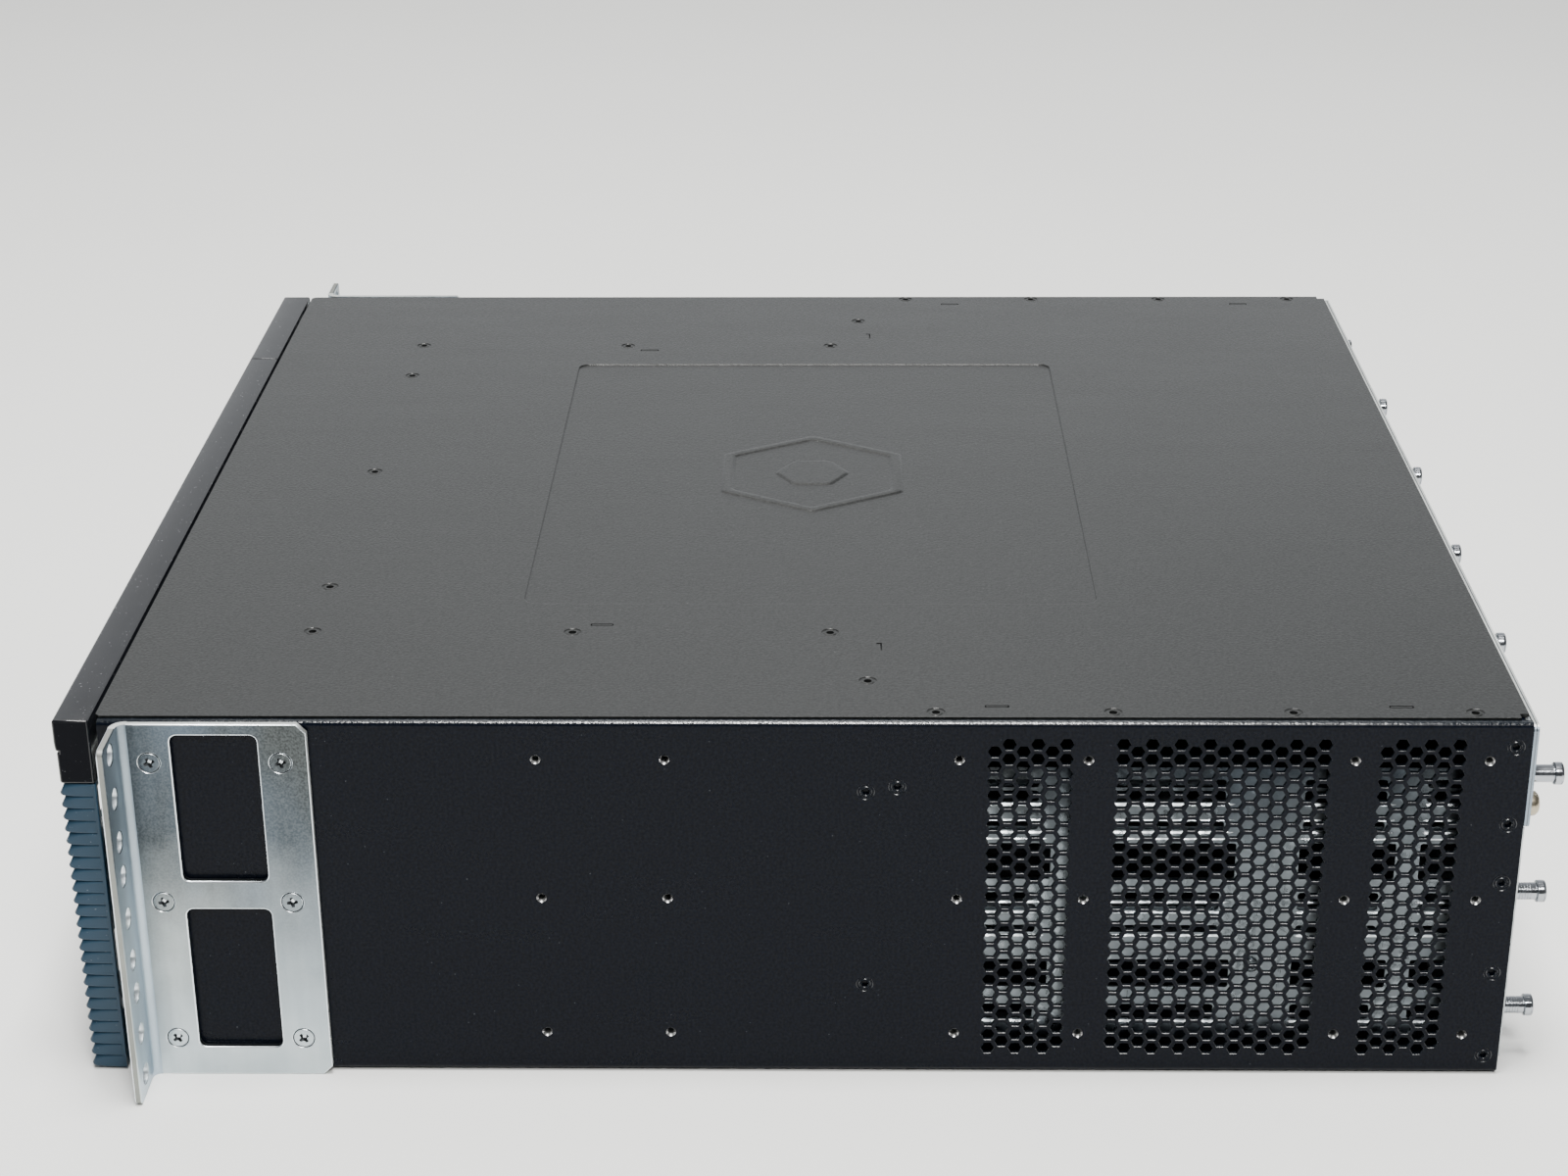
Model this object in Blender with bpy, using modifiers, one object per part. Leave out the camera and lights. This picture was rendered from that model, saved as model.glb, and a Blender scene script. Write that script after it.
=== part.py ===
"""Three-unit rack network appliance: a modular chassis with a pull-off bezel and rear plug-in modules.

Blender 4.5. Run it with: blender --background --python part.py
Sizes are in millimetres and are turned into metres where the meshes are made. X is positive to the
right seen from the front, Y is positive to the rear, and Z is up. The origin is the middle of the
footprint, on the surface that the chassis stands on.
"""

import math

import bmesh
import bpy
from mathutils import Euler, Matrix, Vector

MM = 0.001

# Envelope
CHASSIS_WIDTH = 438.15
CHASSIS_HEIGHT = 133.35  # three rack units of 44.45
CHASSIS_DEPTH = 479.15  # bezel front to rear face
RACK_WIDTH = 482.6
SCREW_REACH = 13.0  # thumbscrew heads behind the rear face
REAR_Y = (CHASSIS_DEPTH + SCREW_REACH) / 2 - SCREW_REACH
FRONT_Y = REAR_Y - CHASSIS_DEPTH
HALF_WIDTH = CHASSIS_WIDTH / 2
GAP = 0.3  # left between pieces that touch

# Sheet metal
WRAP_SHEET = 1.5
COVER_SHEET = 1.2
BEND_RADIUS = 1.9
SHELL_FRONT_Y = REAR_Y - 464.5
COVER_FRONT_Y = REAR_Y - 465.8
COVER_BOTTOM = CHASSIS_HEIGHT - COVER_SHEET
WRAP_TOP = COVER_BOTTOM - GAP
FLANGE_WIDTH = 16.0
INNER_X = HALF_WIDTH - WRAP_SHEET - 0.375  # half width of whatever fits inside the wrap
FLOOR_TOP = WRAP_SHEET + GAP

# Holes in the side walls, as distances ahead of the rear face and heights
RAIL_HOLE_SETBACKS = (322.4, 280.4, 184.5, 142.6, 56.3, 13.0)
RAIL_HOLE_HEIGHTS = (119.5, 67.8, 15.7)
RAIL_HOLE_RADIUS = 1.6
EAR_SCREW_SETBACKS = (447.9, 405.0)
EAR_SCREW_HEIGHTS = (119.4, 67.4, 14.5)
EAR_SCREW_CLEARANCE = 1.9
EAR_SCREW_HEAD = 3.4  # radius of the countersunk head
EAR_SCREW_SINK = 1.9  # depth of the countersunk head

# Top cover
COVER_HALF_WIDTH = 217.0
COVER_NOTCH = 3.0
COVER_CHAMFER = 1.5
RECESS_HALF_WIDTH = 126.0
RECESS_SETBACKS = (334.8, 132.4)
RECESS_DEPTH = 0.6
RECESS_CORNER = 5.0

# Rack ears
EAR_SHEET = 2.3
EAR_SETBACKS = (459.5, 396.0)
EAR_HEIGHTS = (0.6, 132.9)
EAR_BEND = 3.0
EAR_WINDOW_SETBACKS = (440.6, 412.3)
EAR_WINDOW_HEIGHTS = ((10.9, 64.7), (75.3, 129.3))
EAR_WINDOW_CORNER = 2.4
EAR_CORNER = 3.2
RACK_HOLE_X = 232.6
RACK_HOLE_RADIUS = 3.5
RACK_HOLE_FIRST = 7.2
RACK_HOLE_STEPS = (15.875, 15.875, 12.7)

# Front: bulkhead, power supplies and fan tray
BULKHEAD_Y = REAR_Y - 462.0
PSU_X = (6.0, 212.0)
PSU_HEIGHTS = ((5.6, 63.2), (70.2, 127.8))
FAN_TRAY_X = (-212.0, -6.0)
BAY_CLEARANCE = 0.6
DRAWER_FACE_Y = REAR_Y - 463.8
PSU_DEPTH = 238.0
FAN_TRAY_DEPTH = 34.0
CASE_SHEET = 1.2
INLET_DROP = 8.0  # inlet and switch below the middle of the power supply
INLET_X = 180.0
INLET_SIZE = (28.0, 20.0)
SWITCH_X = 148.0
SWITCH_SIZE = (19.0, 13.0)
FAN_RADIUS = 46.0
FAN_CENTRES_X = (-160.0, -58.0)
FAN_CENTRE_Z = 66.7
FAN_BLADES = 7

# Bezel
STUD_X = 215.0
STUD_HEIGHTS = (24.0, 94.0)
STUD_RADIUS = 1.8
STUD_LENGTH = 9.0
CAP_EDGE = 1.0  # radius of the cap's top front edge
BEZEL_BACK_Y = REAR_Y - 467.1
BEZEL_CAP_BOTTOM = 110.3
BEZEL_CAP_GROOVE = 122.0
BEZEL_SPLIT_X = -133.3
BEZEL_WALL = 2.0
GRILLE_BOTTOM = 1.0
GRILLE_RIBS = 24
RIB_DEPTH = 3.0
SLOT_STARTS_X = (-208.0, -72.0)
SLOT_LENGTH = 128.0
SOCKET_WINDOW_X = (134.0, 198.0)
SOCKET_WINDOW_HALF_HEIGHT = 14.0

# Rear: frame, card cage and plug-in pieces
CAGE_SETBACKS = (205.0, 9.0)
CAGE_WALL_X = (207.8, 209.0)
CAGE_WINDOW_SETBACKS = ((198.0, 152.0), (135.0, 92.0), (70.0, 39.0), (31.0, 15.0))
CAGE_WINDOW_HEIGHTS = ((27.0, 39.0), (71.5, 84.5), (99.5, 107.5))
CAGE_LEDGE_HEIGHTS = (12.6, 48.0, 57.4, 88.0)
LEDGE_WIDTH = 5.0
SHELF_Z = 93.0
MIDPLANE_SETBACK = 211.0
PLATE_Y = REAR_Y + GAP
PLATE_SHEET = 1.8
PLATE_SEAT = PLATE_Y + PLATE_SHEET + GAP  # where the screws and cards on the plates sit
TRAY_PLATE_HEIGHTS = (94.6, 132.0)
TRAY_HALF_WIDTH = 196.0
TRAY_FLOOR_Z = 96.6
TRAY_SCREW_X = 211.0
TRAY_SCREW_Z = 111.0
CARD_SCREW_X = (-120.0, -40.0, 40.0, 120.0)
CARD_SCREW_Z = 115.5
CARD_SIZE = (79.2, 22.0)
CARD_SCREW_INSET = 4.6
CARD_WINDOW = (63.0, 15.0)
CARD_SHEET = 1.2
CARD_SEAT = PLATE_SEAT + CARD_SHEET + GAP
PORT_WINDOW_X = (133.0, 195.0)
PORT_WINDOW_Z = (104.0, 120.0)
PORT_SIZE = (14.0, 12.0)
MODULE_ROW_Z = (3.4, 47.9)
MODULE_HEIGHT = 43.8
MODULE_X = (3.0, 213.0)
MODULE_OPENING_X = (10.0, 199.0)
MODULE_SCREW_X = 206.0
MODULE_SCREW_RISE = 16.1
THREAD_RADIUS = 1.4
THREAD_HOLE_RADIUS = 1.8
KNOB_RADIUS = 3.4
HEAD_RADIUS = 3.8

SIDES = {"right": 1, "left": -1}


# Materials: colour, roughness, metallic
FINISHES = {
    "powder_coat_top": ((0.13, 0.135, 0.135), 0.5, 0.0),
    "powder_coat_side": ((0.012, 0.014, 0.02), 0.45, 0.0),
    "zinc_plate": ((0.55, 0.6, 0.64), 0.35, 1.0),
    "galvanised": ((0.6, 0.63, 0.63), 0.45, 1.0),
    "nickel": ((0.75, 0.77, 0.8), 0.15, 1.0),
    "black_gloss": ((0.008, 0.008, 0.011), 0.15, 0.0),
    "slate_blue": ((0.03, 0.075, 0.12), 0.4, 0.0),
    "silver_plate": ((0.6, 0.64, 0.67), 0.3, 1.0),
    "circuit_green": ((0.02, 0.12, 0.06), 0.5, 0.0),
    "aluminium": ((0.7, 0.7, 0.7), 0.4, 1.0),
    "black_plastic": ((0.012, 0.012, 0.014), 0.5, 0.0),
}


def clear_scene():
    for item in list(bpy.data.objects):
        bpy.data.objects.remove(item, do_unlink=True)


def make_collection(name):
    collection = bpy.data.collections.new(name)
    bpy.context.scene.collection.children.link(collection)
    return collection


def make_material(name):
    colour, roughness, metallic = FINISHES[name]
    material = bpy.data.materials.new(name)
    material.use_nodes = True
    shader = material.node_tree.nodes["Principled BSDF"]
    shader.inputs["Base Color"].default_value = (*colour, 1.0)
    shader.inputs["Roughness"].default_value = roughness
    shader.inputs["Metallic"].default_value = metallic
    return material


clear_scene()
PARTS = make_collection("network_appliance")
CUTTERS = make_collection("cutters")
CUTTERS.hide_render = True
MATERIALS = {name: make_material(name) for name in FINISHES}


# Building blocks


def add_object(name, mesh, finish):
    """Link a visible part and give it its own material."""
    part = bpy.data.objects.new(name, mesh)
    mesh.materials.clear()
    mesh.materials.append(MATERIALS[finish])
    PARTS.objects.link(part)
    return part


def add_helper(name, mesh):
    """Link a mesh that only shapes other parts."""
    helper = bpy.data.objects.new(name, mesh)
    helper.hide_render = True
    helper.display_type = "WIRE"
    CUTTERS.objects.link(helper)
    return helper


def box(bm, x, y, z):
    """Add a box given by its low and high limit on each axis."""
    size = Vector((x[1] - x[0], y[1] - y[0], z[1] - z[0])) * MM
    middle = Vector((x[0] + x[1], y[0] + y[1], z[0] + z[1])) * MM / 2
    matrix = Matrix.Translation(middle) @ Matrix.Diagonal((*size, 1.0))
    bmesh.ops.create_cube(bm, size=1.0, matrix=matrix)


def rod(bm, axis, centre, radius, length, segments=8):
    """Add a cylinder centred on a point, along X, Y or Z."""
    turns = {"X": (0, math.pi / 2, 0), "Y": (-math.pi / 2, 0, 0), "Z": (0, 0, 0)}
    matrix = Matrix.Translation(Vector(centre) * MM) @ Euler(turns[axis]).to_matrix().to_4x4()
    bmesh.ops.create_cone(
        bm,
        cap_ends=True,
        segments=segments,
        radius1=radius * MM,
        radius2=radius * MM,
        depth=length * MM,
        matrix=matrix,
    )


def to_mesh(bm, name):
    mesh = bpy.data.meshes.new(name)
    bm.to_mesh(mesh)
    bm.free()
    return mesh


def blocks(name, boxes=(), rods=()):
    """A mesh of separate boxes and cylinders."""
    bm = bmesh.new()
    for limits in boxes:
        box(bm, *limits)
    for settings in rods:
        rod(bm, *settings)
    return to_mesh(bm, name)


def combine(part, mesh, operation):
    """Cut a mesh out of a part, or join it to the part."""
    modifier = part.modifiers.new(mesh.name, "BOOLEAN")
    modifier.object = add_helper(mesh.name, mesh)
    modifier.operation = operation
    modifier.solver = "EXACT"


def cut(part, mesh):
    combine(part, mesh, "DIFFERENCE")


def fuse(part, mesh):
    combine(part, mesh, "UNION")


def finished_mesh(part):
    """The part's mesh with its modifiers applied; the part itself is removed."""
    graph = bpy.context.evaluated_depsgraph_get()
    graph.update()
    mesh = bpy.data.meshes.new_from_object(part.evaluated_get(graph))
    bpy.data.objects.remove(part)
    return mesh


def worked(mesh, joins=(), cuts=()):
    """A mesh with others joined to it and cut out of it, made at the origin before it is placed."""
    part = bpy.data.objects.new(mesh.name, mesh)
    PARTS.objects.link(part)
    for other in joins:
        fuse(part, other)
    for other in cuts:
        cut(part, other)
    return finished_mesh(part)


def place(name, mesh, finish, location, turn=0.0):
    """Link a part whose mesh is drawn about its own origin."""
    part = add_object(name, mesh, finish)
    part.location = Vector(location) * MM
    part.rotation_euler = (0, 0, turn)
    return part


def arc(centre, radius, start, end, steps):
    """Points on an arc, with its angles in degrees."""
    angles = (math.radians(start + (end - start) * i / steps) for i in range(steps + 1))
    return [(centre[0] + radius * math.cos(a), centre[1] + radius * math.sin(a)) for a in angles]


def rounded_rectangle(low, high, radius, steps=3):
    corners = (
        ((high[0] - radius, high[1] - radius), 0),
        ((low[0] + radius, high[1] - radius), 90),
        ((low[0] + radius, low[1] + radius), 180),
        ((high[0] - radius, low[1] + radius), 270),
    )
    return [p for centre, turn in corners for p in arc(centre, radius, turn, turn + 90, steps)]


def rectangle(low, high):
    return [low, (high[0], low[1]), high, (low[0], high[1])]


def circle(centre, radius, steps=8):
    return arc(centre, radius, 0, 360, steps)[:-1]


def offset_path(points, distance):
    """Move a polyline to its left by a distance, keeping its corners sharp."""
    path = [Vector(p) for p in points]
    edges = [(b - a).normalized() for a, b in zip(path, path[1:])]
    normals = [Vector((-e.y, e.x)) for e in edges]
    moved = [path[0] + normals[0] * distance]
    for i in range(1, len(path) - 1):
        bisector = (normals[i - 1] + normals[i]).normalized()
        moved.append(path[i] + bisector * distance / bisector.dot(normals[i]))
    moved.append(path[-1] + normals[-1] * distance)
    return moved


def round_corners(path, radius, steps):
    """Replace each inner corner of a polyline by an arc of the given radius."""
    rounded = [path[0]]
    for before, corner, after in zip(path, path[1:], path[2:]):
        back, ahead = (before - corner).normalized(), (after - corner).normalized()
        half_angle = back.angle(ahead) / 2
        centre = corner + (back + ahead).normalized() * radius / math.sin(half_angle)
        start = corner + back * radius / math.tan(half_angle) - centre
        end = corner + ahead * radius / math.tan(half_angle) - centre
        sweep = start.angle_signed(end)
        rounded += [centre + Matrix.Rotation(-sweep * i / steps, 2) @ start for i in range(steps + 1)]
    return rounded + [path[-1]]


def sheet_section(points, thickness, bend, steps=3):
    """Outline of a bent sheet: the points run along its outer side, with the metal to their left."""
    outer = round_corners([Vector(p) for p in points], bend, steps)
    inner = round_corners(offset_path(points, thickness), bend - thickness, steps)
    return [tuple(p) for p in outer + inner[::-1]]


# Rotations that lay an extruded outline, drawn in its own X and Y, across each axis
ACROSS = {
    "X": Matrix(((0, 0, 1), (1, 0, 0), (0, 1, 0))).to_4x4(),  # drawn as (y, z)
    "Y": Matrix(((1, 0, 0), (0, 0, -1), (0, 1, 0))).to_4x4(),  # drawn as (x, z)
    "Z": Matrix.Identity(4),  # drawn as (x, y)
}


def slab(name, axis, span, outline, holes=()):
    """A flat outline with holes, extruded over a span of one axis."""
    curve = bpy.data.curves.new(name, "CURVE")
    curve.dimensions = "2D"
    curve.fill_mode = "BOTH"
    curve.extrude = (span[1] - span[0]) * MM / 2
    for ring in (outline, *holes):
        spline = curve.splines.new("POLY")
        spline.points.add(len(ring) - 1)
        for point, (u, v) in zip(spline.points, ring):
            point.co = (u * MM, v * MM, 0.0, 1.0)
        spline.use_cyclic_u = True
    flat = bpy.data.objects.new(name, curve)
    PARTS.objects.link(flat)
    mesh = finished_mesh(flat)
    bpy.data.curves.remove(curve)
    bm = bmesh.new()
    bm.from_mesh(mesh)
    bpy.data.meshes.remove(mesh)
    bmesh.ops.remove_doubles(bm, verts=bm.verts, dist=0.00001)
    middle = {"X": (1, 0, 0), "Y": (0, 1, 0), "Z": (0, 0, 1)}[axis]
    shift = Matrix.Translation(Vector(middle) * (span[0] + span[1]) * MM / 2)
    bmesh.ops.transform(bm, matrix=shift @ ACROSS[axis], verts=bm.verts)
    bmesh.ops.recalc_face_normals(bm, faces=bm.faces)
    return to_mesh(bm, name)


def slabs(name, settings):
    """Several slabs as the separate bodies of one mesh."""
    bm = bmesh.new()
    for axis, span, outline in settings:
        piece = slab(name, axis, span, outline)
        bm.from_mesh(piece)
        bpy.data.meshes.remove(piece)
    return to_mesh(bm, name)


def mirrored(limits, side):
    """A low and high limit on X, turned over for the left-hand side."""
    return tuple(sorted(side * value for value in limits))


def behind(*setbacks):
    """Y positions from distances ahead of the rear face."""
    return tuple(REAR_Y - value for value in setbacks)


# The shell


def chassis_wrap():
    """One sheet that forms the floor, both side walls and the flanges under the cover."""
    top, inner = WRAP_TOP, HALF_WIDTH - FLANGE_WIDTH
    w = HALF_WIDTH
    path = [(-inner, top), (-w, top), (-w, 0), (w, 0), (w, top), (inner, top)]
    section = sheet_section(path, WRAP_SHEET, BEND_RADIUS)
    sheet = slab("chassis_wrap", "Y", (SHELL_FRONT_Y, REAR_Y), section)
    wrap = add_object("chassis_wrap", sheet, "powder_coat_side")
    reach = HALF_WIDTH - WRAP_SHEET
    ends = ((SHELL_FRONT_Y - 1, BULKHEAD_Y + WRAP_SHEET + GAP), (REAR_Y - WRAP_SHEET - GAP, REAR_Y + 1))
    notches = [
        (mirrored((inner - 1, reach), side), end, (WRAP_TOP - 5, WRAP_TOP + 1))
        for side in SIDES.values()
        for end in ends
    ]
    cut(wrap, blocks("flange_ends", boxes=notches))
    holes = []
    for side in SIDES.values():
        x = side * (HALF_WIDTH - WRAP_SHEET / 2)
        for y in behind(*RAIL_HOLE_SETBACKS):
            holes += [("X", (x, y, z), RAIL_HOLE_RADIUS, 2 * WRAP_SHEET) for z in RAIL_HOLE_HEIGHTS]
        for y in behind(*EAR_SCREW_SETBACKS):
            holes += [("X", (x, y, z), EAR_SCREW_CLEARANCE, 2 * WRAP_SHEET) for z in EAR_SCREW_HEIGHTS]
    cut(wrap, blocks("side_wall_holes", rods=holes))


def top_cover():
    """Flat riveted cover with a shallow stamped recess, bevelled front corners and notched rear corners."""
    w, notch, bevel, back = COVER_HALF_WIDTH, COVER_NOTCH, COVER_CHAMFER, REAR_Y - GAP
    outline = [
        (-w, COVER_FRONT_Y + bevel),
        (bevel - w, COVER_FRONT_Y),
        (w - bevel, COVER_FRONT_Y),
        (w, COVER_FRONT_Y + bevel),
        (w, back - notch),
        (w - notch, back - notch),
        (w - notch, back),
        (notch - w, back),
        (notch - w, back - notch),
        (-w, back - notch),
    ]
    cover = add_object(
        "top_cover", slab("top_cover", "Z", (COVER_BOTTOM, CHASSIS_HEIGHT), outline), "powder_coat_top"
    )
    front, rear = behind(*RECESS_SETBACKS)
    recess = rounded_rectangle((-RECESS_HALF_WIDTH, front), (RECESS_HALF_WIDTH, rear), RECESS_CORNER)
    cut(cover, slab("cover_recess", "Z", (CHASSIS_HEIGHT - RECESS_DEPTH, CHASSIS_HEIGHT + 1), recess))


def front_bulkhead():
    """Front frame with bays for both power supplies and the fan tray, and studs that hold the bezel."""
    clear = BAY_CLEARANCE
    span = (BULKHEAD_Y, BULKHEAD_Y + WRAP_SHEET)
    sheet = blocks("front_bulkhead", boxes=[((-INNER_X, INNER_X), span, (FLOOR_TOP, WRAP_TOP))])
    bulkhead = add_object("front_bulkhead", sheet, "galvanised")
    through = (span[0] - 1, span[1] + 1)
    x = (PSU_X[0] - clear, PSU_X[1] + clear)
    bays = [(x, through, (low - clear, high + clear)) for low, high in PSU_HEIGHTS]
    x = (FAN_TRAY_X[0] - clear, FAN_TRAY_X[1] + clear)
    bays.append((x, through, (PSU_HEIGHTS[0][0] - clear, PSU_HEIGHTS[1][1] + clear)))
    cut(bulkhead, blocks("front_bays", boxes=bays))
    length = STUD_LENGTH
    y = BULKHEAD_Y + 1 - length / 2
    spots = [(side * STUD_X, y, z) for side in SIDES.values() for z in STUD_HEIGHTS]
    studs = [("Y", spot, STUD_RADIUS, length) for spot in spots]
    fuse(bulkhead, blocks("bezel_studs", rods=studs))


def rear_frame():
    """Rear sheet with one opening for the tray and four for the module bays."""
    openings = [rectangle((-TRAY_HALF_WIDTH - 2, 95.6), (TRAY_HALF_WIDTH + 2, 130.2))]
    holes = [circle((side * TRAY_SCREW_X, TRAY_SCREW_Z), THREAD_HOLE_RADIUS) for side in SIDES.values()]
    for low in MODULE_ROW_Z:
        for side in SIDES.values():
            x = mirrored(MODULE_OPENING_X, side)
            openings.append(rectangle((x[0], low + 5.6), (x[1], low + MODULE_HEIGHT - 5.6)))
            holes.append(circle((side * MODULE_SCREW_X, low + MODULE_SCREW_RISE), THREAD_HOLE_RADIUS))
    outline = rectangle((-INNER_X, FLOOR_TOP), (INNER_X, WRAP_TOP))
    sheet = slab("rear_frame", "Y", (REAR_Y - WRAP_SHEET, REAR_Y), outline, openings + holes)
    add_object("rear_frame", sheet, "galvanised")


# Inside the chassis


def midplane_board():
    """Board across the chassis that joins the modules, with one socket for each and slots for air."""
    y = behind(MIDPLANE_SETBACK)[0]
    sheet = blocks("midplane_board", boxes=[((-200.0, 200.0), (y, y + 1.6), (5.0, 128.0))])
    board = add_object("midplane_board", sheet, "circuit_green")
    through = (y - 1, y + 3)
    spots = [(x, z) for x in (-150.0, -60.0, 60.0, 150.0) for z in (51.0, 90.0)]
    slots = [((x - 17, x + 17), through, (z - 5, z + 5)) for x, z in spots]
    cut(board, blocks("midplane_slots", boxes=slots))
    sockets = [
        ((side * 100 - 30, side * 100 + 30), (y + 1, y + 7), (z - 4, z + 4))
        for side in SIDES.values()
        for z in (25.0, 69.5)
    ]
    sockets.append(((-45.0, 45.0), (y + 1, y + 7), (103.0, 111.0)))
    fuse(board, blocks("midplane_sockets", boxes=sockets))


def card_cage_wall(name, side):
    """Galvanised side wall of the card cage, with windows for air and ledges that guide the modules."""
    y = behind(*CAGE_SETBACKS)
    sheet = (mirrored(CAGE_WALL_X, side), y, (FLOOR_TOP, WRAP_TOP - 3))
    wall = add_object(name, blocks(name, boxes=[sheet]), "galvanised")
    across = mirrored((CAGE_WALL_X[0] - 1, CAGE_WALL_X[1] + 1), side)
    spans = [behind(*pair) for pair in CAGE_WINDOW_SETBACKS]
    windows = [(across, span, heights) for span in spans for heights in CAGE_WINDOW_HEIGHTS]
    cut(wall, blocks(name + "_windows", boxes=windows))
    x = mirrored((CAGE_WALL_X[0] - LEDGE_WIDTH, CAGE_WALL_X[0] + 0.5), side)
    ledges = [(x, (y[0] + 2, y[1] - 2), (z, z + CASE_SHEET)) for z in CAGE_LEDGE_HEIGHTS]
    fuse(wall, blocks(name + "_ledges", boxes=ledges))


def tray_shelf():
    """Sheet that carries the processor tray above the module bays."""
    y = behind(CAGE_SETBACKS[0], WRAP_SHEET + GAP)
    x = CAGE_WALL_X[0] - 0.4
    sheet = blocks("tray_shelf", boxes=[((-x, x), y, (SHELF_Z, SHELF_Z + CASE_SHEET))])
    add_object("tray_shelf", sheet, "galvanised")


def bay_divider():
    """Upright plate between the left and right module bays, with windows for air."""
    y = behind(CAGE_SETBACKS[0], WRAP_SHEET + GAP)
    half = CASE_SHEET / 2
    sheet = blocks("bay_divider", boxes=[((-half, half), y, (FLOOR_TOP, SHELF_Z - GAP))])
    divider = add_object("bay_divider", sheet, "galvanised")
    windows = [((-1, 1), behind(*pair), (z, z + 22)) for pair in ((190, 120), (95, 25)) for z in (14, 58)]
    cut(divider, blocks("divider_windows", boxes=windows))


# Front drawers


def power_supply(number, heights):
    """Power supply: open-backed case, mains inlet with its three pins, and rocker switch."""
    name = f"psu_{number}"
    middle = inlet_height(heights)
    back = DRAWER_FACE_Y + PSU_DEPTH
    shell = blocks(name + "_case", boxes=[(PSU_X, (DRAWER_FACE_Y, back), heights)])
    case = add_object(name + "_case", shell, "galvanised")
    inside = (
        (PSU_X[0] + CASE_SHEET, PSU_X[1] - CASE_SHEET),
        (DRAWER_FACE_Y + CASE_SHEET, back + 1),
        (heights[0] + CASE_SHEET, heights[1] - CASE_SHEET),
    )
    cut(case, blocks(name + "_inside", boxes=[inside]))
    through = (DRAWER_FACE_Y - 1, DRAWER_FACE_Y + CASE_SHEET + 1)
    reach, rise = INLET_SIZE[0] / 2 + GAP, INLET_SIZE[1] / 2 + GAP
    openings = [((INLET_X - reach, INLET_X + reach), through, (middle - rise, middle + rise))]
    reach, rise = SWITCH_SIZE[1] / 2 + 0.6, SWITCH_SIZE[0] / 2 + 0.6
    openings.append(((SWITCH_X - reach, SWITCH_X + reach), through, (middle - rise, middle + rise)))
    slots = (heights[0] + 9 + 8 * i for i in range(6))
    openings += [((20.0, 122.0), through, (z - 2, z + 2)) for z in slots]
    cut(case, blocks(name + "_openings", boxes=openings))
    mains_inlet(name + "_inlet", middle)
    rocker_switch(name + "_switch", middle)


def inlet_height(heights):
    return sum(heights) / 2 - INLET_DROP


def mains_inlet(name, middle):
    reach, rise = INLET_SIZE[0] / 2, INLET_SIZE[1] / 2
    face = DRAWER_FACE_Y - 1.0
    limits = ((INLET_X - reach, INLET_X + reach), (face, face + 19), (middle - rise, middle + rise))
    inlet = add_object(name, blocks(name, boxes=[limits]), "black_plastic")
    cavity = ((INLET_X - 12.2, INLET_X + 12.2), (face - 1, face + 16), (middle - 8.4, middle + 8.4))
    cut(inlet, blocks(name + "_cavity", boxes=[cavity]))
    pins = []
    for across, up in ((-7, -2), (0, 2), (7, -2)):
        x, z = INLET_X + across, middle + up
        pins.append(((x - 1, x + 1), (face + 5, face + 17), (z - 2, z + 2)))
    fuse(inlet, blocks(name + "_pins", boxes=pins))


def rocker_switch(name, middle):
    """Rocker with two faces that meet at a shallow angle, turning about a level axis through its middle."""
    half, depth, lean = SWITCH_SIZE[0] / 2, 9.0, 1.6
    outline = [(-lean, -half), (0.4, 0), (-lean, half), (depth, half * 0.55), (depth, -half * 0.55)]
    half_width = SWITCH_SIZE[1] / 2
    mesh = slab(name, "X", (-half_width, half_width), outline)
    place(name, mesh, "black_plastic", (SWITCH_X, DRAWER_FACE_Y, middle))


def fan_tray():
    """Open-backed tray with two round inlets, and a bar behind each that carries the rotor's axle."""
    low, high = PSU_HEIGHTS[0][0], PSU_HEIGHTS[1][1]
    back = DRAWER_FACE_Y + FAN_TRAY_DEPTH
    shell = blocks("fan_tray", boxes=[(FAN_TRAY_X, (DRAWER_FACE_Y, back), (low, high))])
    tray = add_object("fan_tray", shell, "galvanised")
    inside = (
        (FAN_TRAY_X[0] + CASE_SHEET, FAN_TRAY_X[1] - CASE_SHEET),
        (DRAWER_FACE_Y + CASE_SHEET, back + 1),
        (low + CASE_SHEET, high - CASE_SHEET),
    )
    cut(tray, blocks("fan_tray_inside", boxes=[inside]))
    inlets = [("Y", (x, DRAWER_FACE_Y, FAN_CENTRE_Z), FAN_RADIUS + 1, 6.0, 24) for x in FAN_CENTRES_X]
    cut(tray, blocks("fan_inlets", rods=inlets))
    bars = [((x - 7, x + 7), (back - 5, back - 1), (low + 0.5, high - 0.5)) for x in FAN_CENTRES_X]
    fuse(tray, blocks("fan_bars", boxes=bars))
    axles = [("Y", (x, back - 13.6, FAN_CENTRE_Z), 2.0, 23.2, 8) for x in FAN_CENTRES_X]
    fuse(tray, blocks("fan_axles", rods=axles))
    rotor = fan_rotor()
    for number, x in enumerate(FAN_CENTRES_X, 1):
        place(f"fan_rotor_{number}", rotor, "black_plastic", (x, DRAWER_FACE_Y + 4, FAN_CENTRE_Z))


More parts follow.
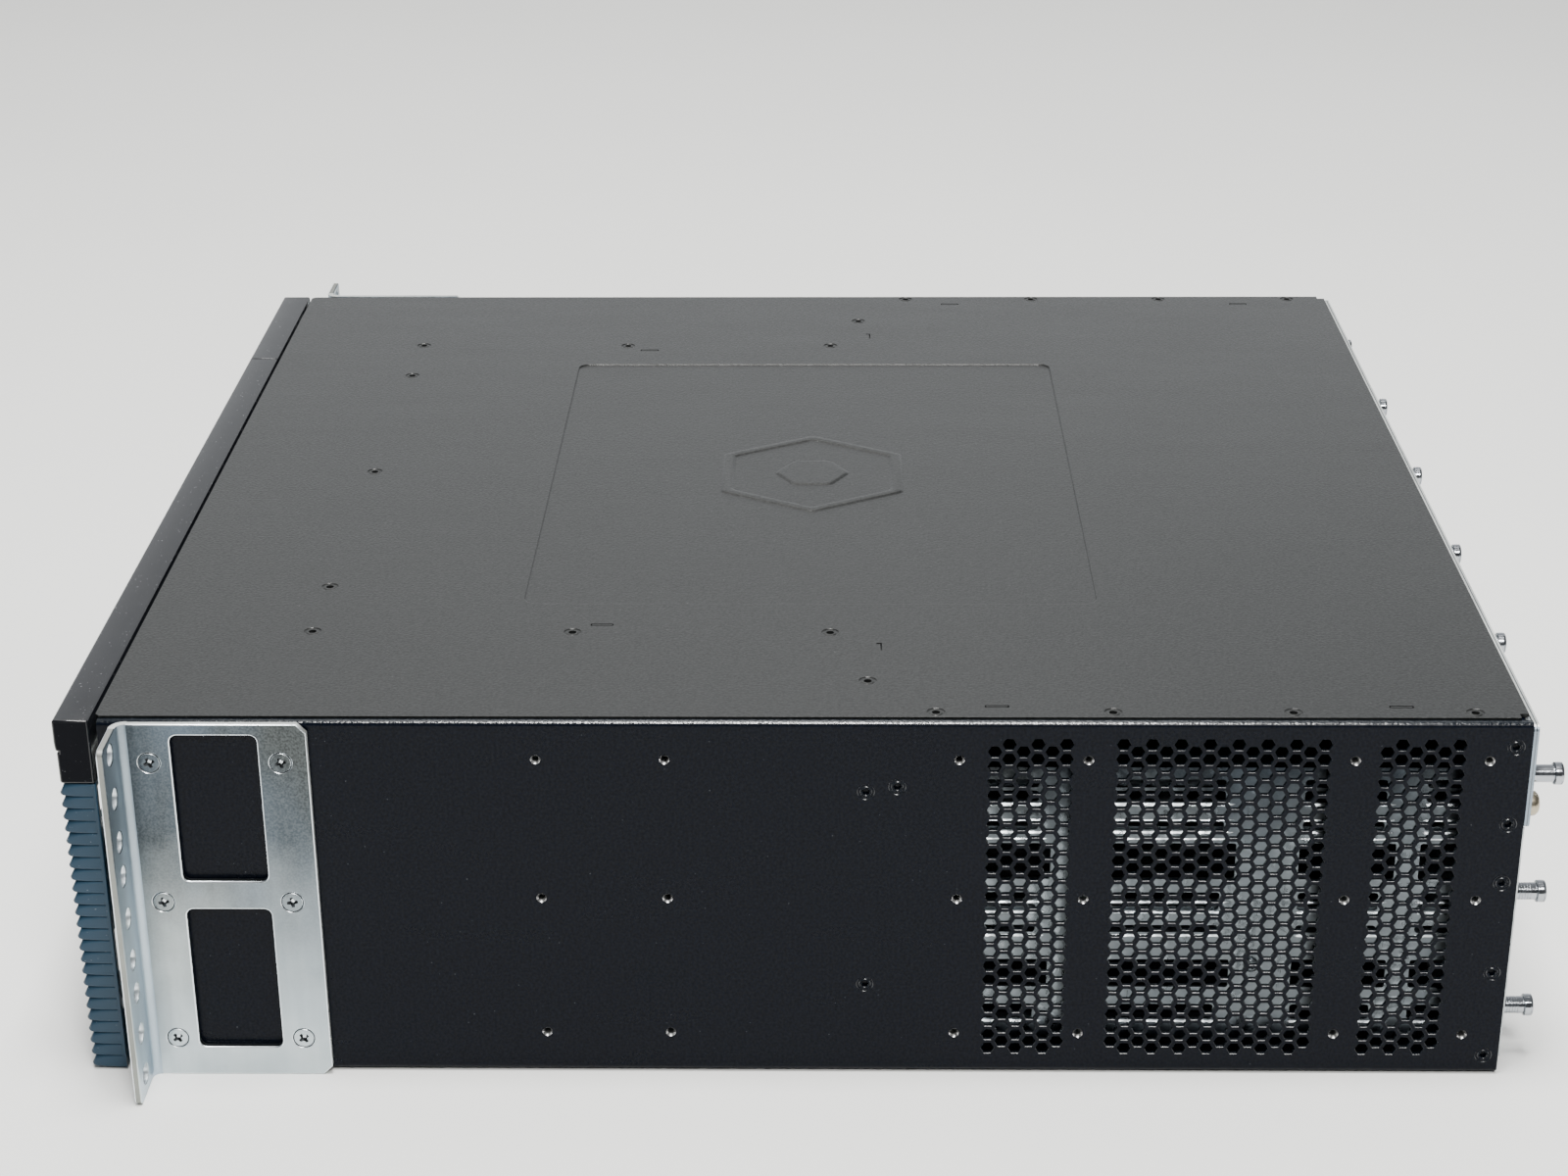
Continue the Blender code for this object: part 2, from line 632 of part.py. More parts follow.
def fan_rotor():
    """Cup-shaped hub with pitched blades, bored for its axle, about the axis Y."""
    depth, hub_radius = 22.0, 18.0
    hub = blocks("fan_rotor", rods=[("Y", (0, depth / 2, 0), hub_radius, depth, 20)])
    blades = bmesh.new()
    for i in range(FAN_BLADES):
        blade = bmesh.ops.create_cube(blades, size=1.0)["verts"]
        length = FAN_RADIUS - hub_radius + 1
        scale = Matrix.Diagonal((length * MM, 1.6 * MM, 20 * MM, 1.0))
        pitch = Matrix.Rotation(math.radians(55), 4, "X")
        out = Matrix.Translation(Vector((hub_radius - 2 + length / 2, depth / 2, 0)) * MM)
        turn = Matrix.Rotation(2 * math.pi * i / FAN_BLADES, 4, "Y")
        bmesh.ops.transform(blades, matrix=turn @ out @ pitch @ scale, verts=blade)
    bore = blocks("fan_bore", rods=[("Y", (0, depth / 2 + 4, 0), 2.5, depth, 12)])
    return worked(hub, joins=[to_mesh(blades, "fan_blades")], cuts=[bore])


# Bezel


def bezel_cap(name, x):
    """Hollow gloss moulding, open at the back, with its lower band set back below a groove."""
    top, low = CHASSIS_HEIGHT, BEZEL_CAP_BOTTOM
    outline = [
        (BEZEL_BACK_Y, low),
        (FRONT_Y + 2.5, low),
        (FRONT_Y + 1.2, BEZEL_CAP_GROOVE - 1.5),
        (FRONT_Y + 2.4, BEZEL_CAP_GROOVE - 0.6),
        (FRONT_Y + 0.4, BEZEL_CAP_GROOVE),
        *arc((FRONT_Y + CAP_EDGE, top - CAP_EDGE), CAP_EDGE, 180, 90, 3),
        (BEZEL_BACK_Y, top),
    ]
    cap = add_object(name, slab(name, "X", x, outline), "black_gloss")
    hollow = (
        (x[0] + BEZEL_WALL, x[1] - BEZEL_WALL),
        (FRONT_Y + 5, BEZEL_BACK_Y + 1),
        (low + BEZEL_WALL, top - BEZEL_WALL),
    )
    cut(cap, blocks(name + "_hollow", boxes=[hollow]))


def bezel_grille():
    """Ribbed moulding: pointed level ribs with air slots between them, and a window for each mains inlet."""
    top = BEZEL_CAP_BOTTOM - GAP
    pitch = (top - GRILLE_BOTTOM) / GRILLE_RIBS
    valley = FRONT_Y + RIB_DEPTH
    rib = [(valley, 0.25), (FRONT_Y, pitch * 0.42), (FRONT_Y, pitch * 0.58), (valley, pitch - 0.25)]
    outline = [(BEZEL_BACK_Y, GRILLE_BOTTOM)]
    for i in range(GRILLE_RIBS):
        outline += [(y, GRILLE_BOTTOM + i * pitch + up) for y, up in rib]
    outline.append((BEZEL_BACK_Y, top))
    moulding = slab("bezel_grille", "X", (-HALF_WIDTH, HALF_WIDTH), outline)
    grille = add_object("bezel_grille", moulding, "slate_blue")
    wall = BEZEL_WALL
    across = (wall - HALF_WIDTH, HALF_WIDTH - wall)
    hollow = (across, (valley + 2, BEZEL_BACK_Y + 1), (GRILLE_BOTTOM + wall, top - wall))
    cut(grille, blocks("grille_hollow", boxes=[hollow]))
    windows = []
    for heights in PSU_HEIGHTS:
        middle = inlet_height(heights)
        reach = SOCKET_WINDOW_HALF_HEIGHT
        windows.append((SOCKET_WINDOW_X, (FRONT_Y - 1, valley + 3), (middle - reach, middle + reach)))
    cut(grille, blocks("grille_windows", boxes=windows))
    slots = []
    through = (FRONT_Y - 1, valley + 3)
    for i in range(1, GRILLE_RIBS):
        z = GRILLE_BOTTOM + i * pitch
        slots += [((low, low + SLOT_LENGTH), through, (z - 0.6, z + 0.6)) for low in SLOT_STARTS_X]
    cut(grille, blocks("grille_slots", boxes=slots))


# Rack ears


def rack_ear(name, side):
    """Bent zinc-plated ear: side plate with two windows, and a front flange with the rack's hole pattern."""
    front, back = behind(*EAR_SETBACKS)
    inner = HALF_WIDTH + GAP
    path = [(inner, back), (inner, front), (RACK_WIDTH / 2, front)]
    section = sheet_section(path, EAR_SHEET, EAR_BEND)
    section = [(side * x, y) for x, y in section]
    ear = add_object(name, slab(name, "Z", EAR_HEIGHTS, section), "zinc_plate")
    across = mirrored((inner - 1, inner + EAR_SHEET + 1), side)
    y = behind(*EAR_WINDOW_SETBACKS)
    openings = []
    for low, high in EAR_WINDOW_HEIGHTS:
        openings.append(("X", across, rounded_rectangle((y[0], low), (y[1], high), EAR_WINDOW_CORNER)))
    low, high = EAR_HEIGHTS
    r = EAR_CORNER
    turn = arc((back - r, high - r), r, 90, 0, 3)
    upper = [(back + 1, high + 1), (back - r, high + 1), *turn, (back + 1, high - r)]
    turn = arc((back - r, low + r), r, 0, -90, 3)
    lower = [(back + 1, low - 1), (back + 1, low + r), *turn, (back - r, low - 1)]
    openings += [("X", across, upper), ("X", across, lower)]
    cut(ear, slabs(name + "_side_openings", openings))
    through = (front - 1, front + EAR_SHEET + 1)
    places = [(side * RACK_HOLE_X, z) for z in rack_hole_heights()]
    holes = [("Y", through, circle(spot, RACK_HOLE_RADIUS, 10)) for spot in places]
    cut(ear, slabs(name + "_rack_holes", holes))
    cut(ear, countersinks(name, side, inner + EAR_SHEET))


def countersinks(name, side, face):
    """Cutters for the six screw holes of an ear, each wide enough at the outer face for a flat head."""
    depth, overrun = EAR_SCREW_SINK + GAP, 1.0
    slope = (EAR_SCREW_HEAD - EAR_SCREW_CLEARANCE) / EAR_SCREW_SINK
    narrow = EAR_SCREW_CLEARANCE
    wide = narrow + slope * (depth + overrun)
    inside = -EAR_SHEET - overrun
    profile = [(inside, 0), (inside, narrow), (-depth, narrow), (overrun, wide), (overrun, 0)]
    cutter = turned(name + "_countersink", profile, 12)
    outward = Matrix.Rotation(-side * math.pi / 2, 4, "Z")
    bm = bmesh.new()
    for y in behind(*EAR_SCREW_SETBACKS):
        for z in EAR_SCREW_HEIGHTS:
            before = len(bm.verts)
            bm.from_mesh(cutter)
            bm.verts.ensure_lookup_table()
            spot = Matrix.Translation(Vector((side * face, y, z)) * MM)
            bmesh.ops.transform(bm, matrix=spot @ outward, verts=bm.verts[before:])
    return to_mesh(bm, name + "_countersinks")


def ear_screws(name, side, mesh):
    """The six screws that hold an ear, each with its head flush in the ear's outer face."""
    x = side * (HALF_WIDTH + EAR_SHEET + GAP)
    places = [(x, y, z) for y in behind(*EAR_SCREW_SETBACKS) for z in EAR_SCREW_HEIGHTS]
    for number, location in enumerate(places, 1):
        place(f"{name}_{number}", mesh, "zinc_plate", location, turn=-side * math.pi / 2)


def rack_hole_heights():
    heights = [RACK_HOLE_FIRST]
    for i in range(8):
        heights.append(heights[-1] + RACK_HOLE_STEPS[i % 3])
    return heights


def turned(name, profile, steps):
    """A solid turned about Y from (y, radius) points, whose first and last points are on the axis."""
    bm = bmesh.new()
    verts = [bm.verts.new((radius * MM, y * MM, 0.0)) for y, radius in profile]
    for a, b in zip(verts, verts[1:]):
        bm.edges.new((a, b))
    body = bpy.data.objects.new(name, to_mesh(bm, name))
    PARTS.objects.link(body)
    screw = body.modifiers.new("turn", "SCREW")
    screw.axis = "Y"
    screw.steps = screw.render_steps = steps
    screw.use_merge_vertices = True
    screw.merge_threshold = 0.00001
    mesh = finished_mesh(body)
    bm = bmesh.new()
    bm.from_mesh(mesh)
    bmesh.ops.remove_doubles(bm, verts=bm.verts, dist=0.000001)
    bmesh.ops.recalc_face_normals(bm, faces=bm.faces)
    bm.to_mesh(mesh)
    bm.free()
    return mesh


def ear_screw():
    """Countersunk cross-recess screw about the axis Y, with its flat head at the origin."""
    sink, head = EAR_SCREW_SINK, EAR_SCREW_HEAD
    profile = [(-9.0, 0), (-9.0, THREAD_RADIUS), (-sink, THREAD_RADIUS), (-0.2, head), (0, head), (0, 0)]
    reach, half, depth = 1.7, 0.45, (-1.2, 1.0)
    level = blocks("recess_level", boxes=[((-reach, reach), depth, (-half, half))])
    upright = blocks("recess_upright", boxes=[((-half, half), depth, (-reach, reach))])
    return worked(turned("ear_screw", profile, 12), cuts=[level, upright])


# Rear plug-in pieces


def thumbscrew(seat):
    """Captive screw about the axis Y: a turned knob and a slotted head that ends behind the chassis."""
    reach = REAR_Y + SCREW_REACH - seat
    neck = reach - 3.1
    profile = [
        (-8.0, 0),
        (-8.0, 0.9),
        (-7.0, THREAD_RADIUS),
        (0, THREAD_RADIUS),
        (0, KNOB_RADIUS),
        (neck - 0.6, KNOB_RADIUS),
        (neck - 0.6, KNOB_RADIUS - 0.7),
        (neck, KNOB_RADIUS - 0.7),
        (neck, HEAD_RADIUS),
        (reach - 0.5, HEAD_RADIUS),
        (reach, HEAD_RADIUS - 0.5),
        (reach, 0),
    ]
    slot = blocks("screw_slot", boxes=[((-5, 5), (reach - 0.9, reach + 1), (-0.45, 0.45))])
    return worked(turned("thumbscrew", profile, 12), cuts=[slot])


def fit_thumbscrew(name, mesh, x, z, seat, parent):
    screw = place(name, mesh, "nickel", (x, seat, z))
    screw.parent = parent


def processor_tray(screw):
    """Tray with its silver faceplate, its board, heat sink and ports, and four small card blanks."""
    holes = [circle((side * TRAY_SCREW_X, TRAY_SCREW_Z), THREAD_HOLE_RADIUS) for side in SIDES.values()]
    half_height = CARD_WINDOW[1] / 2
    for x in CARD_SCREW_X:
        holes.append(circle((x, CARD_SCREW_Z), THREAD_HOLE_RADIUS))
        right = x - 7.0
        low = (right - CARD_WINDOW[0], CARD_SCREW_Z - half_height)
        holes.append(rectangle(low, (right, CARD_SCREW_Z + half_height)))
    holes.append(rectangle((PORT_WINDOW_X[0], PORT_WINDOW_Z[0]), (PORT_WINDOW_X[1], PORT_WINDOW_Z[1])))
    width = HALF_WIDTH - 0.6
    outline = rounded_rectangle((-width, TRAY_PLATE_HEIGHTS[0]), (width, TRAY_PLATE_HEIGHTS[1]), 2.0)
    plate = slab("processor_tray", "Y", (PLATE_Y, PLATE_Y + PLATE_SHEET), outline, holes)
    tray = add_object("processor_tray", plate, "silver_plate")
    y = (behind(200.0)[0], PLATE_Y + 0.6)
    floor = ((-TRAY_HALF_WIDTH, TRAY_HALF_WIDTH), y, (TRAY_FLOOR_Z, TRAY_FLOOR_Z + CASE_SHEET))
    fuse(tray, blocks("tray_floor", boxes=[floor]))
    lip, rise = (TRAY_HALF_WIDTH - CASE_SHEET, TRAY_HALF_WIDTH), (TRAY_FLOOR_Z + 0.5, TRAY_FLOOR_Z + 9)
    lips = [(mirrored(lip, side), y, rise) for side in SIDES.values()]
    fuse(tray, blocks("tray_lips", boxes=lips))
    spots = [(x, y) for x in (-170.0, 0.0, 170.0) for y in behind(185.0, 40.0)]
    posts = [("Z", (x, y, TRAY_FLOOR_Z + 2.6), 2.5, 3.4) for x, y in spots]
    fuse(tray, blocks("tray_posts", rods=posts))
    for name, side in SIDES.items():
        fit_thumbscrew(f"tray_screw_{name}", screw, side * TRAY_SCREW_X, TRAY_SCREW_Z, PLATE_SEAT, tray)
    tray_contents(tray)
    card_screw = thumbscrew(CARD_SEAT)
    for number, x in enumerate(CARD_SCREW_X, 1):
        card_blank(number, x, tray, card_screw)


def tray_contents(tray):
    board_z = TRAY_FLOOR_Z + 4.6
    limits = ((-188.0, 188.0), behind(195.0, 24.0), (board_z, board_z + 1.6))
    board = add_object("processor_board", blocks("processor_board", boxes=[limits]), "circuit_green")
    y = behind(160.0, 100.0)
    base = board_z + 1.6 + GAP
    plate = blocks("heat_sink", boxes=[((-35.0, 35.0), y, (base, base + 5))])
    sink = add_object("heat_sink", plate, "aluminium")
    span, rise = (y[0] + 0.5, y[1] - 0.5), (base + 4, 124.0)
    fins = [((-34.0 + 8.3 * i, -32.0 + 8.3 * i), span, rise) for i in range(9)]
    fuse(sink, blocks("heat_sink_fins", boxes=fins))
    x, z = PORT_WINDOW_X, PORT_WINDOW_Z
    limits = (
        (x[0] + 0.5, x[1] - 0.5),
        (REAR_Y - 17.0, PLATE_Y + PLATE_SHEET + 0.4),
        (z[0] + 0.5, z[1] - 0.5),
    )
    ports = add_object("port_block", blocks("port_block", boxes=[limits]), "nickel")
    step = (limits[0][1] - limits[0][0]) / 4
    centres = [limits[0][0] + step * (i + 0.5) for i in range(4)]
    reach, middle = PORT_SIZE[0] / 2, (z[0] + z[1]) / 2
    rise = (middle - PORT_SIZE[1] / 2, middle + PORT_SIZE[1] / 2)
    cavities = [((c - reach, c + reach), (REAR_Y - 14, REAR_Y + 4), rise) for c in centres]
    cut(ports, blocks("port_cavities", boxes=cavities))
    for part in (board, sink, ports):
        part.parent = tray


def card_blank(number, screw_x, tray, screw):
    """Small blank plate with a shallow pan behind it and one captive screw at its right end."""
    name = f"card_blank_{number}"
    front = PLATE_SEAT
    right = screw_x + CARD_SCREW_INSET
    half_height = CARD_SIZE[1] / 2
    low, high = CARD_SCREW_Z - half_height, CARD_SCREW_Z + half_height
    outline = rectangle((right - CARD_SIZE[0], low), (right, high))
    hole = circle((screw_x, CARD_SCREW_Z), THREAD_HOLE_RADIUS)
    blank = add_object(name, slab(name, "Y", (front, front + CARD_SHEET), outline, [hole]), "galvanised")
    x = (screw_x - 7 - CARD_WINDOW[0] + 1, screw_x - 8)
    z = (CARD_SCREW_Z - CARD_WINDOW[1] / 2 + 1, CARD_SCREW_Z + CARD_WINDOW[1] / 2 - 1)
    pan(blank, x, (front - 12, front + 0.4), z)
    blank.parent = tray
    fit_thumbscrew(f"card_screw_{number}", screw, screw_x, CARD_SCREW_Z, CARD_SEAT, blank)


def pan(blank, x, y, z):
    """Join a shallow open box to the back of a blank plate."""
    sheet = CASE_SHEET
    fuse(blank, blocks(blank.name + "_pan", boxes=[(x, y, z)]))
    hollow = ((x[0] + sheet, x[1] - sheet), (y[0] - 1, y[1] - 0.2), (z[0] + sheet, z[1] - sheet))
    cut(blank, blocks(blank.name + "_hollow", boxes=[hollow]))


def module_blank(number, side, low, screw):
    """Large blank plate over a module bay, with a pan behind it and one captive screw at its outer end."""
    name = f"module_blank_{number}"
    x = mirrored(MODULE_X, side)
    screw_z = low + MODULE_SCREW_RISE
    hole = circle((side * MODULE_SCREW_X, screw_z), THREAD_HOLE_RADIUS)
    outline = rectangle((x[0], low), (x[1], low + MODULE_HEIGHT))
    span = (PLATE_Y, PLATE_Y + PLATE_SHEET)
    blank = add_object(name, slab(name, "Y", span, outline, [hole]), "galvanised")
    opening = mirrored(MODULE_OPENING_X, side)
    z = (low + 6.6, low + MODULE_HEIGHT - 6.6)
    pan(blank, (opening[0] + 1, opening[1] - 1), (REAR_Y - 14, PLATE_Y + 0.5), z)
    fit_thumbscrew(f"module_screw_{number}", screw, side * MODULE_SCREW_X, screw_z, PLATE_SEAT, blank)


def shade_round_parts():
    for part in PARTS.objects:
        part.data.shade_smooth()
        part.data.set_sharp_from_angle(angle=math.radians(35))


def build():
    chassis_wrap()
    top_cover()
    front_bulkhead()
    rear_frame()
    midplane_board()
    flat_head = ear_screw()
    for name, side in SIDES.items():
        card_cage_wall(f"card_cage_{name}", side)
        rack_ear(f"rack_ear_{name}", side)
        ear_screws(f"ear_screw_{name}", side, flat_head)
    tray_shelf()
    bay_divider()
    for number, heights in enumerate(PSU_HEIGHTS, 1):
        power_supply(number, heights)
    fan_tray()
    bezel_cap("bezel_cap", (BEZEL_SPLIT_X + GAP, HALF_WIDTH))
    bezel_cap("bezel_cap_end", (-HALF_WIDTH, BEZEL_SPLIT_X - GAP))
    bezel_grille()
    plate_screw = thumbscrew(PLATE_SEAT)
    processor_tray(plate_screw)
    bays = [(side, low) for low in MODULE_ROW_Z for side in SIDES.values()]
    for number, (side, low) in enumerate(bays, 1):
        module_blank(number, side, low, plate_screw)
    shade_round_parts()


build()
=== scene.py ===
"""Visual model of a three-unit rack network appliance, built on its CAD frame.

Sizes are in millimetres in the row frame and are turned into metres where the meshes are made: X is
positive to the right seen from the front, Y is positive to the rear, Z is up.
"""

import math
import random

import bpy
from mathutils import Matrix, Vector
from mathutils.geometry import delaunay_2d_cdt


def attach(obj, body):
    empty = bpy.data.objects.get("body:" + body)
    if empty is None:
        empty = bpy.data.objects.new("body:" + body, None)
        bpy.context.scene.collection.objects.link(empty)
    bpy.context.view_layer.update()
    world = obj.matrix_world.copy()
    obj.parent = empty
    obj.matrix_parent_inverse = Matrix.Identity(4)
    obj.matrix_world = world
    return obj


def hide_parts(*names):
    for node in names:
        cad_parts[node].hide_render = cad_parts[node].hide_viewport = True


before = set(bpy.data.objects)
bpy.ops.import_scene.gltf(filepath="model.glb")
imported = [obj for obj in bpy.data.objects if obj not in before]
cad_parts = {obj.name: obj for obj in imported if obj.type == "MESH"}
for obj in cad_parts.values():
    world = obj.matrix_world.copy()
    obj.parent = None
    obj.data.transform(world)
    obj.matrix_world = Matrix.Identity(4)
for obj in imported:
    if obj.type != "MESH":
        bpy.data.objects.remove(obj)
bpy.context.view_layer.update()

MM = 0.001

# Sizes shared with the CAD model
REAR_Y = 233.075
HALF_WIDTH = 219.075
HEIGHT = 133.35
SHELL_FRONT = 464.5
BEZEL_BACK = 467.1
BEZEL_FRONT = 479.15
WRAP_LOW = 0.6
WRAP_TOP = 131.85
LEDGE = (215.95, 132.95)
LEDGE_BEND = 1.5
SHEET = 1.5
BEND = 1.9
EAR_FACE_X = 221.675
EAR_SCREW_HOLE = 1.9
SIDES = {"right": 1, "left": -1}


def back(setback):
    """Y from a distance ahead of the rear face."""
    return REAR_Y - setback


def grid(setbacks, heights):
    """(y, z) of each crossing of some setbacks and heights."""
    return [(back(setback), z) for setback in setbacks for z in heights]


EAR_SCREWS = grid((447.9, 405.0), (119.4, 67.4, 14.5))
RAIL_HOLES = grid((322.4, 280.4, 184.5, 142.6, 56.3, 13.0), (119.5, 67.8, 15.7))
REAR_RIVETS = grid((5.0,), (124.5, 96.2, 74.3, 39.9, 7.5))
FLUSH_RIVETS = REAR_RIVETS + grid((214.8,), (107.8, 34.9)) + grid((204.6,), (109.7,))


# Shapes


class Place:
    """A flat frame in space: u and v span the face, and height is measured outwards from it."""

    def __init__(self, origin, u, v):
        self.origin, self.u, self.v = Vector(origin), Vector(u), Vector(v)
        self.n = self.u.cross(self.v)

    def point(self, u, v, height=0.0):
        return self.origin + self.u * u + self.v * v + self.n * height


class Shape:
    """Collects flat webs and smooth strips as separate islands, so that bends and flats shade cleanly."""

    def __init__(self, place=None):
        self.place = place or Place((0, 0, 0), (1, 0, 0), (0, 1, 0))
        self.points, self.faces, self.smooth, self.slots = [], [], [], []

    def add(self, points, faces, smooth=False, slot=0):
        start = len(self.points)
        self.points += points
        self.faces += [[start + i for i in face] for face in faces]
        self.smooth += [smooth] * len(faces)
        self.slots += [slot] * len(faces)

    def web(self, outline, holes=(), height=0.0, flip=False, slot=0):
        """A flat sheet with holes, from anticlockwise loops of (u, v)."""
        loops = [outline, *holes]
        flat, rings = [], []
        for loop in loops:
            rings.append(list(range(len(flat), len(flat) + len(loop))))
            flat += [Vector(p) for p in loop]
        found = delaunay_2d_cdt(flat, [], rings, 1, 0.00001, True)
        faces = [list(face) for face, origins in zip(found[2], found[5]) if origins == [0]]
        if flip:
            faces = [face[::-1] for face in faces]
        self.add([self.place.point(p.x, p.y, height) for p in found[0]], faces, False, slot)

    def rings(self, loops, closed=True, smooth=True, slot=0):
        """Strips between loops of 3-D points, each loop inside or below the one before."""
        count = len(loops[0])
        faces = []
        for i in range(len(loops) - 1):
            a, b = i * count, (i + 1) * count
            for j in range(count if closed else count - 1):
                k = (j + 1) % count
                faces.append([a + j, a + k, b + k, b + j])
        self.add([Vector(p) for loop in loops for p in loop], faces, smooth, slot)

    def levels(self, steps, smooth=True, slot=0):
        """Strips between loops of (u, v), each given with its height above the face."""
        self.rings([[self.place.point(u, v, h) for u, v in loop] for loop, h in steps], True, smooth, slot)

    def wall(self, loop, top, bottom, slot=0):
        """Flat-shaded strip round a loop of (u, v) between two heights."""
        self.levels([(loop, top), (loop, bottom)], False, slot)

    def fill(self, loop, height=0.0, flip=False, slot=0):
        face = list(range(len(loop)))
        points = [self.place.point(u, v, height) for u, v in loop]
        self.add(points, [face[::-1] if flip else face], False, slot)

    def turned(self, profile, centre, axis, segments=24, slot=0, smooth=True):
        """A solid of revolution from (distance along the axis, radius) points, low end first, with a sharp
        corner where a point is given twice."""
        axis = Vector(axis)
        side = axis.orthogonal().normalized()
        other = axis.cross(side)
        angles = [2 * math.pi * i / segments for i in range(segments)]
        runs, run = [], [profile[0]]
        for last, point in zip(profile, profile[1:]):
            if point == last:
                runs.append(run)
                run = []
            run.append(point)
        runs.append(run)
        for run in runs:
            loops = [
                [Vector(centre) + axis * d + (side * math.cos(a) + other * math.sin(a)) * r for a in angles]
                for d, r in run
            ]
            self.rings(loops[::-1], True, smooth, slot)

    def box(self, low, high, slot=0):
        x, y, z = zip(low, high)
        points = [Vector((x[i], y[j], z[k])) for i in (0, 1) for j in (0, 1) for k in (0, 1)]
        faces = [[0, 1, 3, 2], [4, 6, 7, 5], [0, 4, 5, 1], [2, 3, 7, 6], [0, 2, 6, 4], [1, 5, 7, 3]]
        self.add(points, faces, False, slot)

    def turn_over(self, count):
        """Face the last so many faces the other way."""
        self.faces[-count:] = [face[::-1] for face in self.faces[-count:]]

    def join(self, other, matrix=None):
        start = len(self.points)
        self.points += [matrix @ p if matrix else p for p in other.points]
        self.faces += [[start + i for i in face] for face in other.faces]
        self.smooth += other.smooth
        self.slots += other.slots

    def piece(self, name, materials, body, slot, nodes=()):
        """Make the object, let it ride on a body, and hide the CAD nodes it stands for."""
        mesh = bpy.data.meshes.new(name)
        mesh.from_pydata([p * MM for p in self.points], [], self.faces)
        mesh.polygons.foreach_set("use_smooth", self.smooth)
        mesh.polygons.foreach_set("material_index", self.slots)
        for material in materials if isinstance(materials, (list, tuple)) else [materials]:
            mesh.materials.append(material)
        mesh.update()
        obj = bpy.data.objects.new(name, mesh)
        bpy.context.scene.collection.objects.link(obj)
        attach(obj, body)
        if nodes:
            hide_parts(*nodes)
        return obj


def mirrored(shape):
    """The same shape on the left-hand side."""
    copy = Shape()
    copy.points = [Vector((-p.x, p.y, p.z)) for p in shape.points]
    copy.faces = [face[::-1] for face in shape.faces]
    copy.smooth, copy.slots = list(shape.smooth), list(shape.slots)
    return copy


def rectangle(u0, u1, v0, v1):
    return [(u0, v0), (u1, v0), (u1, v1), (u0, v1)]


def circle(u, v, radius, count=20):
    angles = [2 * math.pi * i / count for i in range(count)]
    return [(u + radius * math.cos(a), v + radius * math.sin(a)) for a in angles]


def arc(u, v, radius, start, end, steps):
    """Points along an arc between two angles in degrees."""
    angles = [math.radians(start + (end - start) * i / steps) for i in range(steps + 1)]
    return [(u + radius * math.cos(a), v + radius * math.sin(a)) for a in angles]


def rounded(u, v, width, height, radius, steps=5):
    """Anticlockwise rounded rectangle round a centre."""
    points = []
    for x, y, start in ((1, 1, 0), (-1, 1, 90), (-1, -1, 180), (1, -1, 270)):
        cu, cv = u + x * (width / 2 - radius), v + y * (height / 2 - radius)
        points += arc(cu, cv, radius, start, start + 90, steps)
    return points


def rounded_polygon(u, v, sides, reach, radius, turn=0.0, steps=3):
    """Anticlockwise regular polygon with rounded corners."""
    points = []
    half = math.pi / sides
    for i in range(sides):
        middle = turn + 2 * half * i
        centre = reach - radius / math.cos(half)
        cu, cv = u + centre * math.cos(middle), v + centre * math.sin(middle)
        for j in range(steps + 1):
            a = middle - half + 2 * half * j / steps
            points.append((cu + radius * math.cos(a), cv + radius * math.sin(a)))
    return points


# Materials


class Finish:
    """A Principled material with procedural detail in the object's own coordinates, which are in metres."""

    def __init__(self, name, roughness=0.5, metallic=0.0):
        self.material = bpy.data.materials.new(name)
        self.material.use_nodes = True
        self.tree = self.material.node_tree
        self.shader = self.tree.nodes["Principled BSDF"]
        self.shader.inputs["Metallic"].default_value = metallic
        self.shader.inputs["Roughness"].default_value = roughness
        self.space = self.node("ShaderNodeTexCoord").outputs["Object"]

    def node(self, kind, settings=None, **inputs):
        made = self.tree.nodes.new(kind)
        for key, value in (settings or {}).items():
            setattr(made, key, value)
        for key, value in inputs.items():
            self.feed(made.inputs[key.replace("_", " ")], value)
        return made

    def feed(self, socket, value):
        if isinstance(value, bpy.types.NodeSocket):
            self.tree.links.new(value, socket)
        elif isinstance(value, tuple) and len(value) == 3 and socket.type == "RGBA":
            socket.default_value = (*value, 1.0)
        else:
            socket.default_value = value

    def stretched(self, scale):
        return self.node("ShaderNodeMapping", Vector=self.space, Scale=scale).outputs["Vector"]

    def noise(self, scale, detail=2.0, stretch=None, roughness=0.5):
        space = self.stretched(stretch) if stretch else self.space
        made = self.node("ShaderNodeTexNoise", Vector=space, Scale=scale, Detail=detail, Roughness=roughness)
        return made.outputs["Fac"]

    def spread(self, value, low, high, to_low=0.0, to_high=1.0):
        """Map a range to another, held at its ends."""
        made = self.node("ShaderNodeMapRange", {"clamp": True})
        for i, item in enumerate((value, low, high, to_low, to_high)):
            self.feed(made.inputs[i], item)
        return made.outputs[0]

    def mix(self, amount, a, b):
        made = self.node("ShaderNodeMix", {"data_type": "RGBA"})
        self.feed(made.inputs[0], amount)
        self.feed(made.inputs[6], a)
        self.feed(made.inputs[7], b)
        return made.outputs[2]

    def maths(self, operation, a, b=0.0):
        made = self.node("ShaderNodeMath", {"operation": operation})
        self.feed(made.inputs[0], a)
        self.feed(made.inputs[1], b)
        return made.outputs[0]

    def colour(self, value):
        self.feed(self.shader.inputs["Base Color"], value)

    def rough(self, value):
        self.feed(self.shader.inputs["Roughness"], value)

    def bump(self, height, depth, strength=1.0, under=None):
        made = self.node("ShaderNodeBump", Height=height, Distance=depth, Strength=strength)
        if under:
            self.feed(made.inputs["Normal"], under)
        return made.outputs["Normal"]

    def normal(self, value):
        self.feed(self.shader.inputs["Normal"], value)


def tint(colour, factor):
    return tuple(channel * factor for channel in colour)


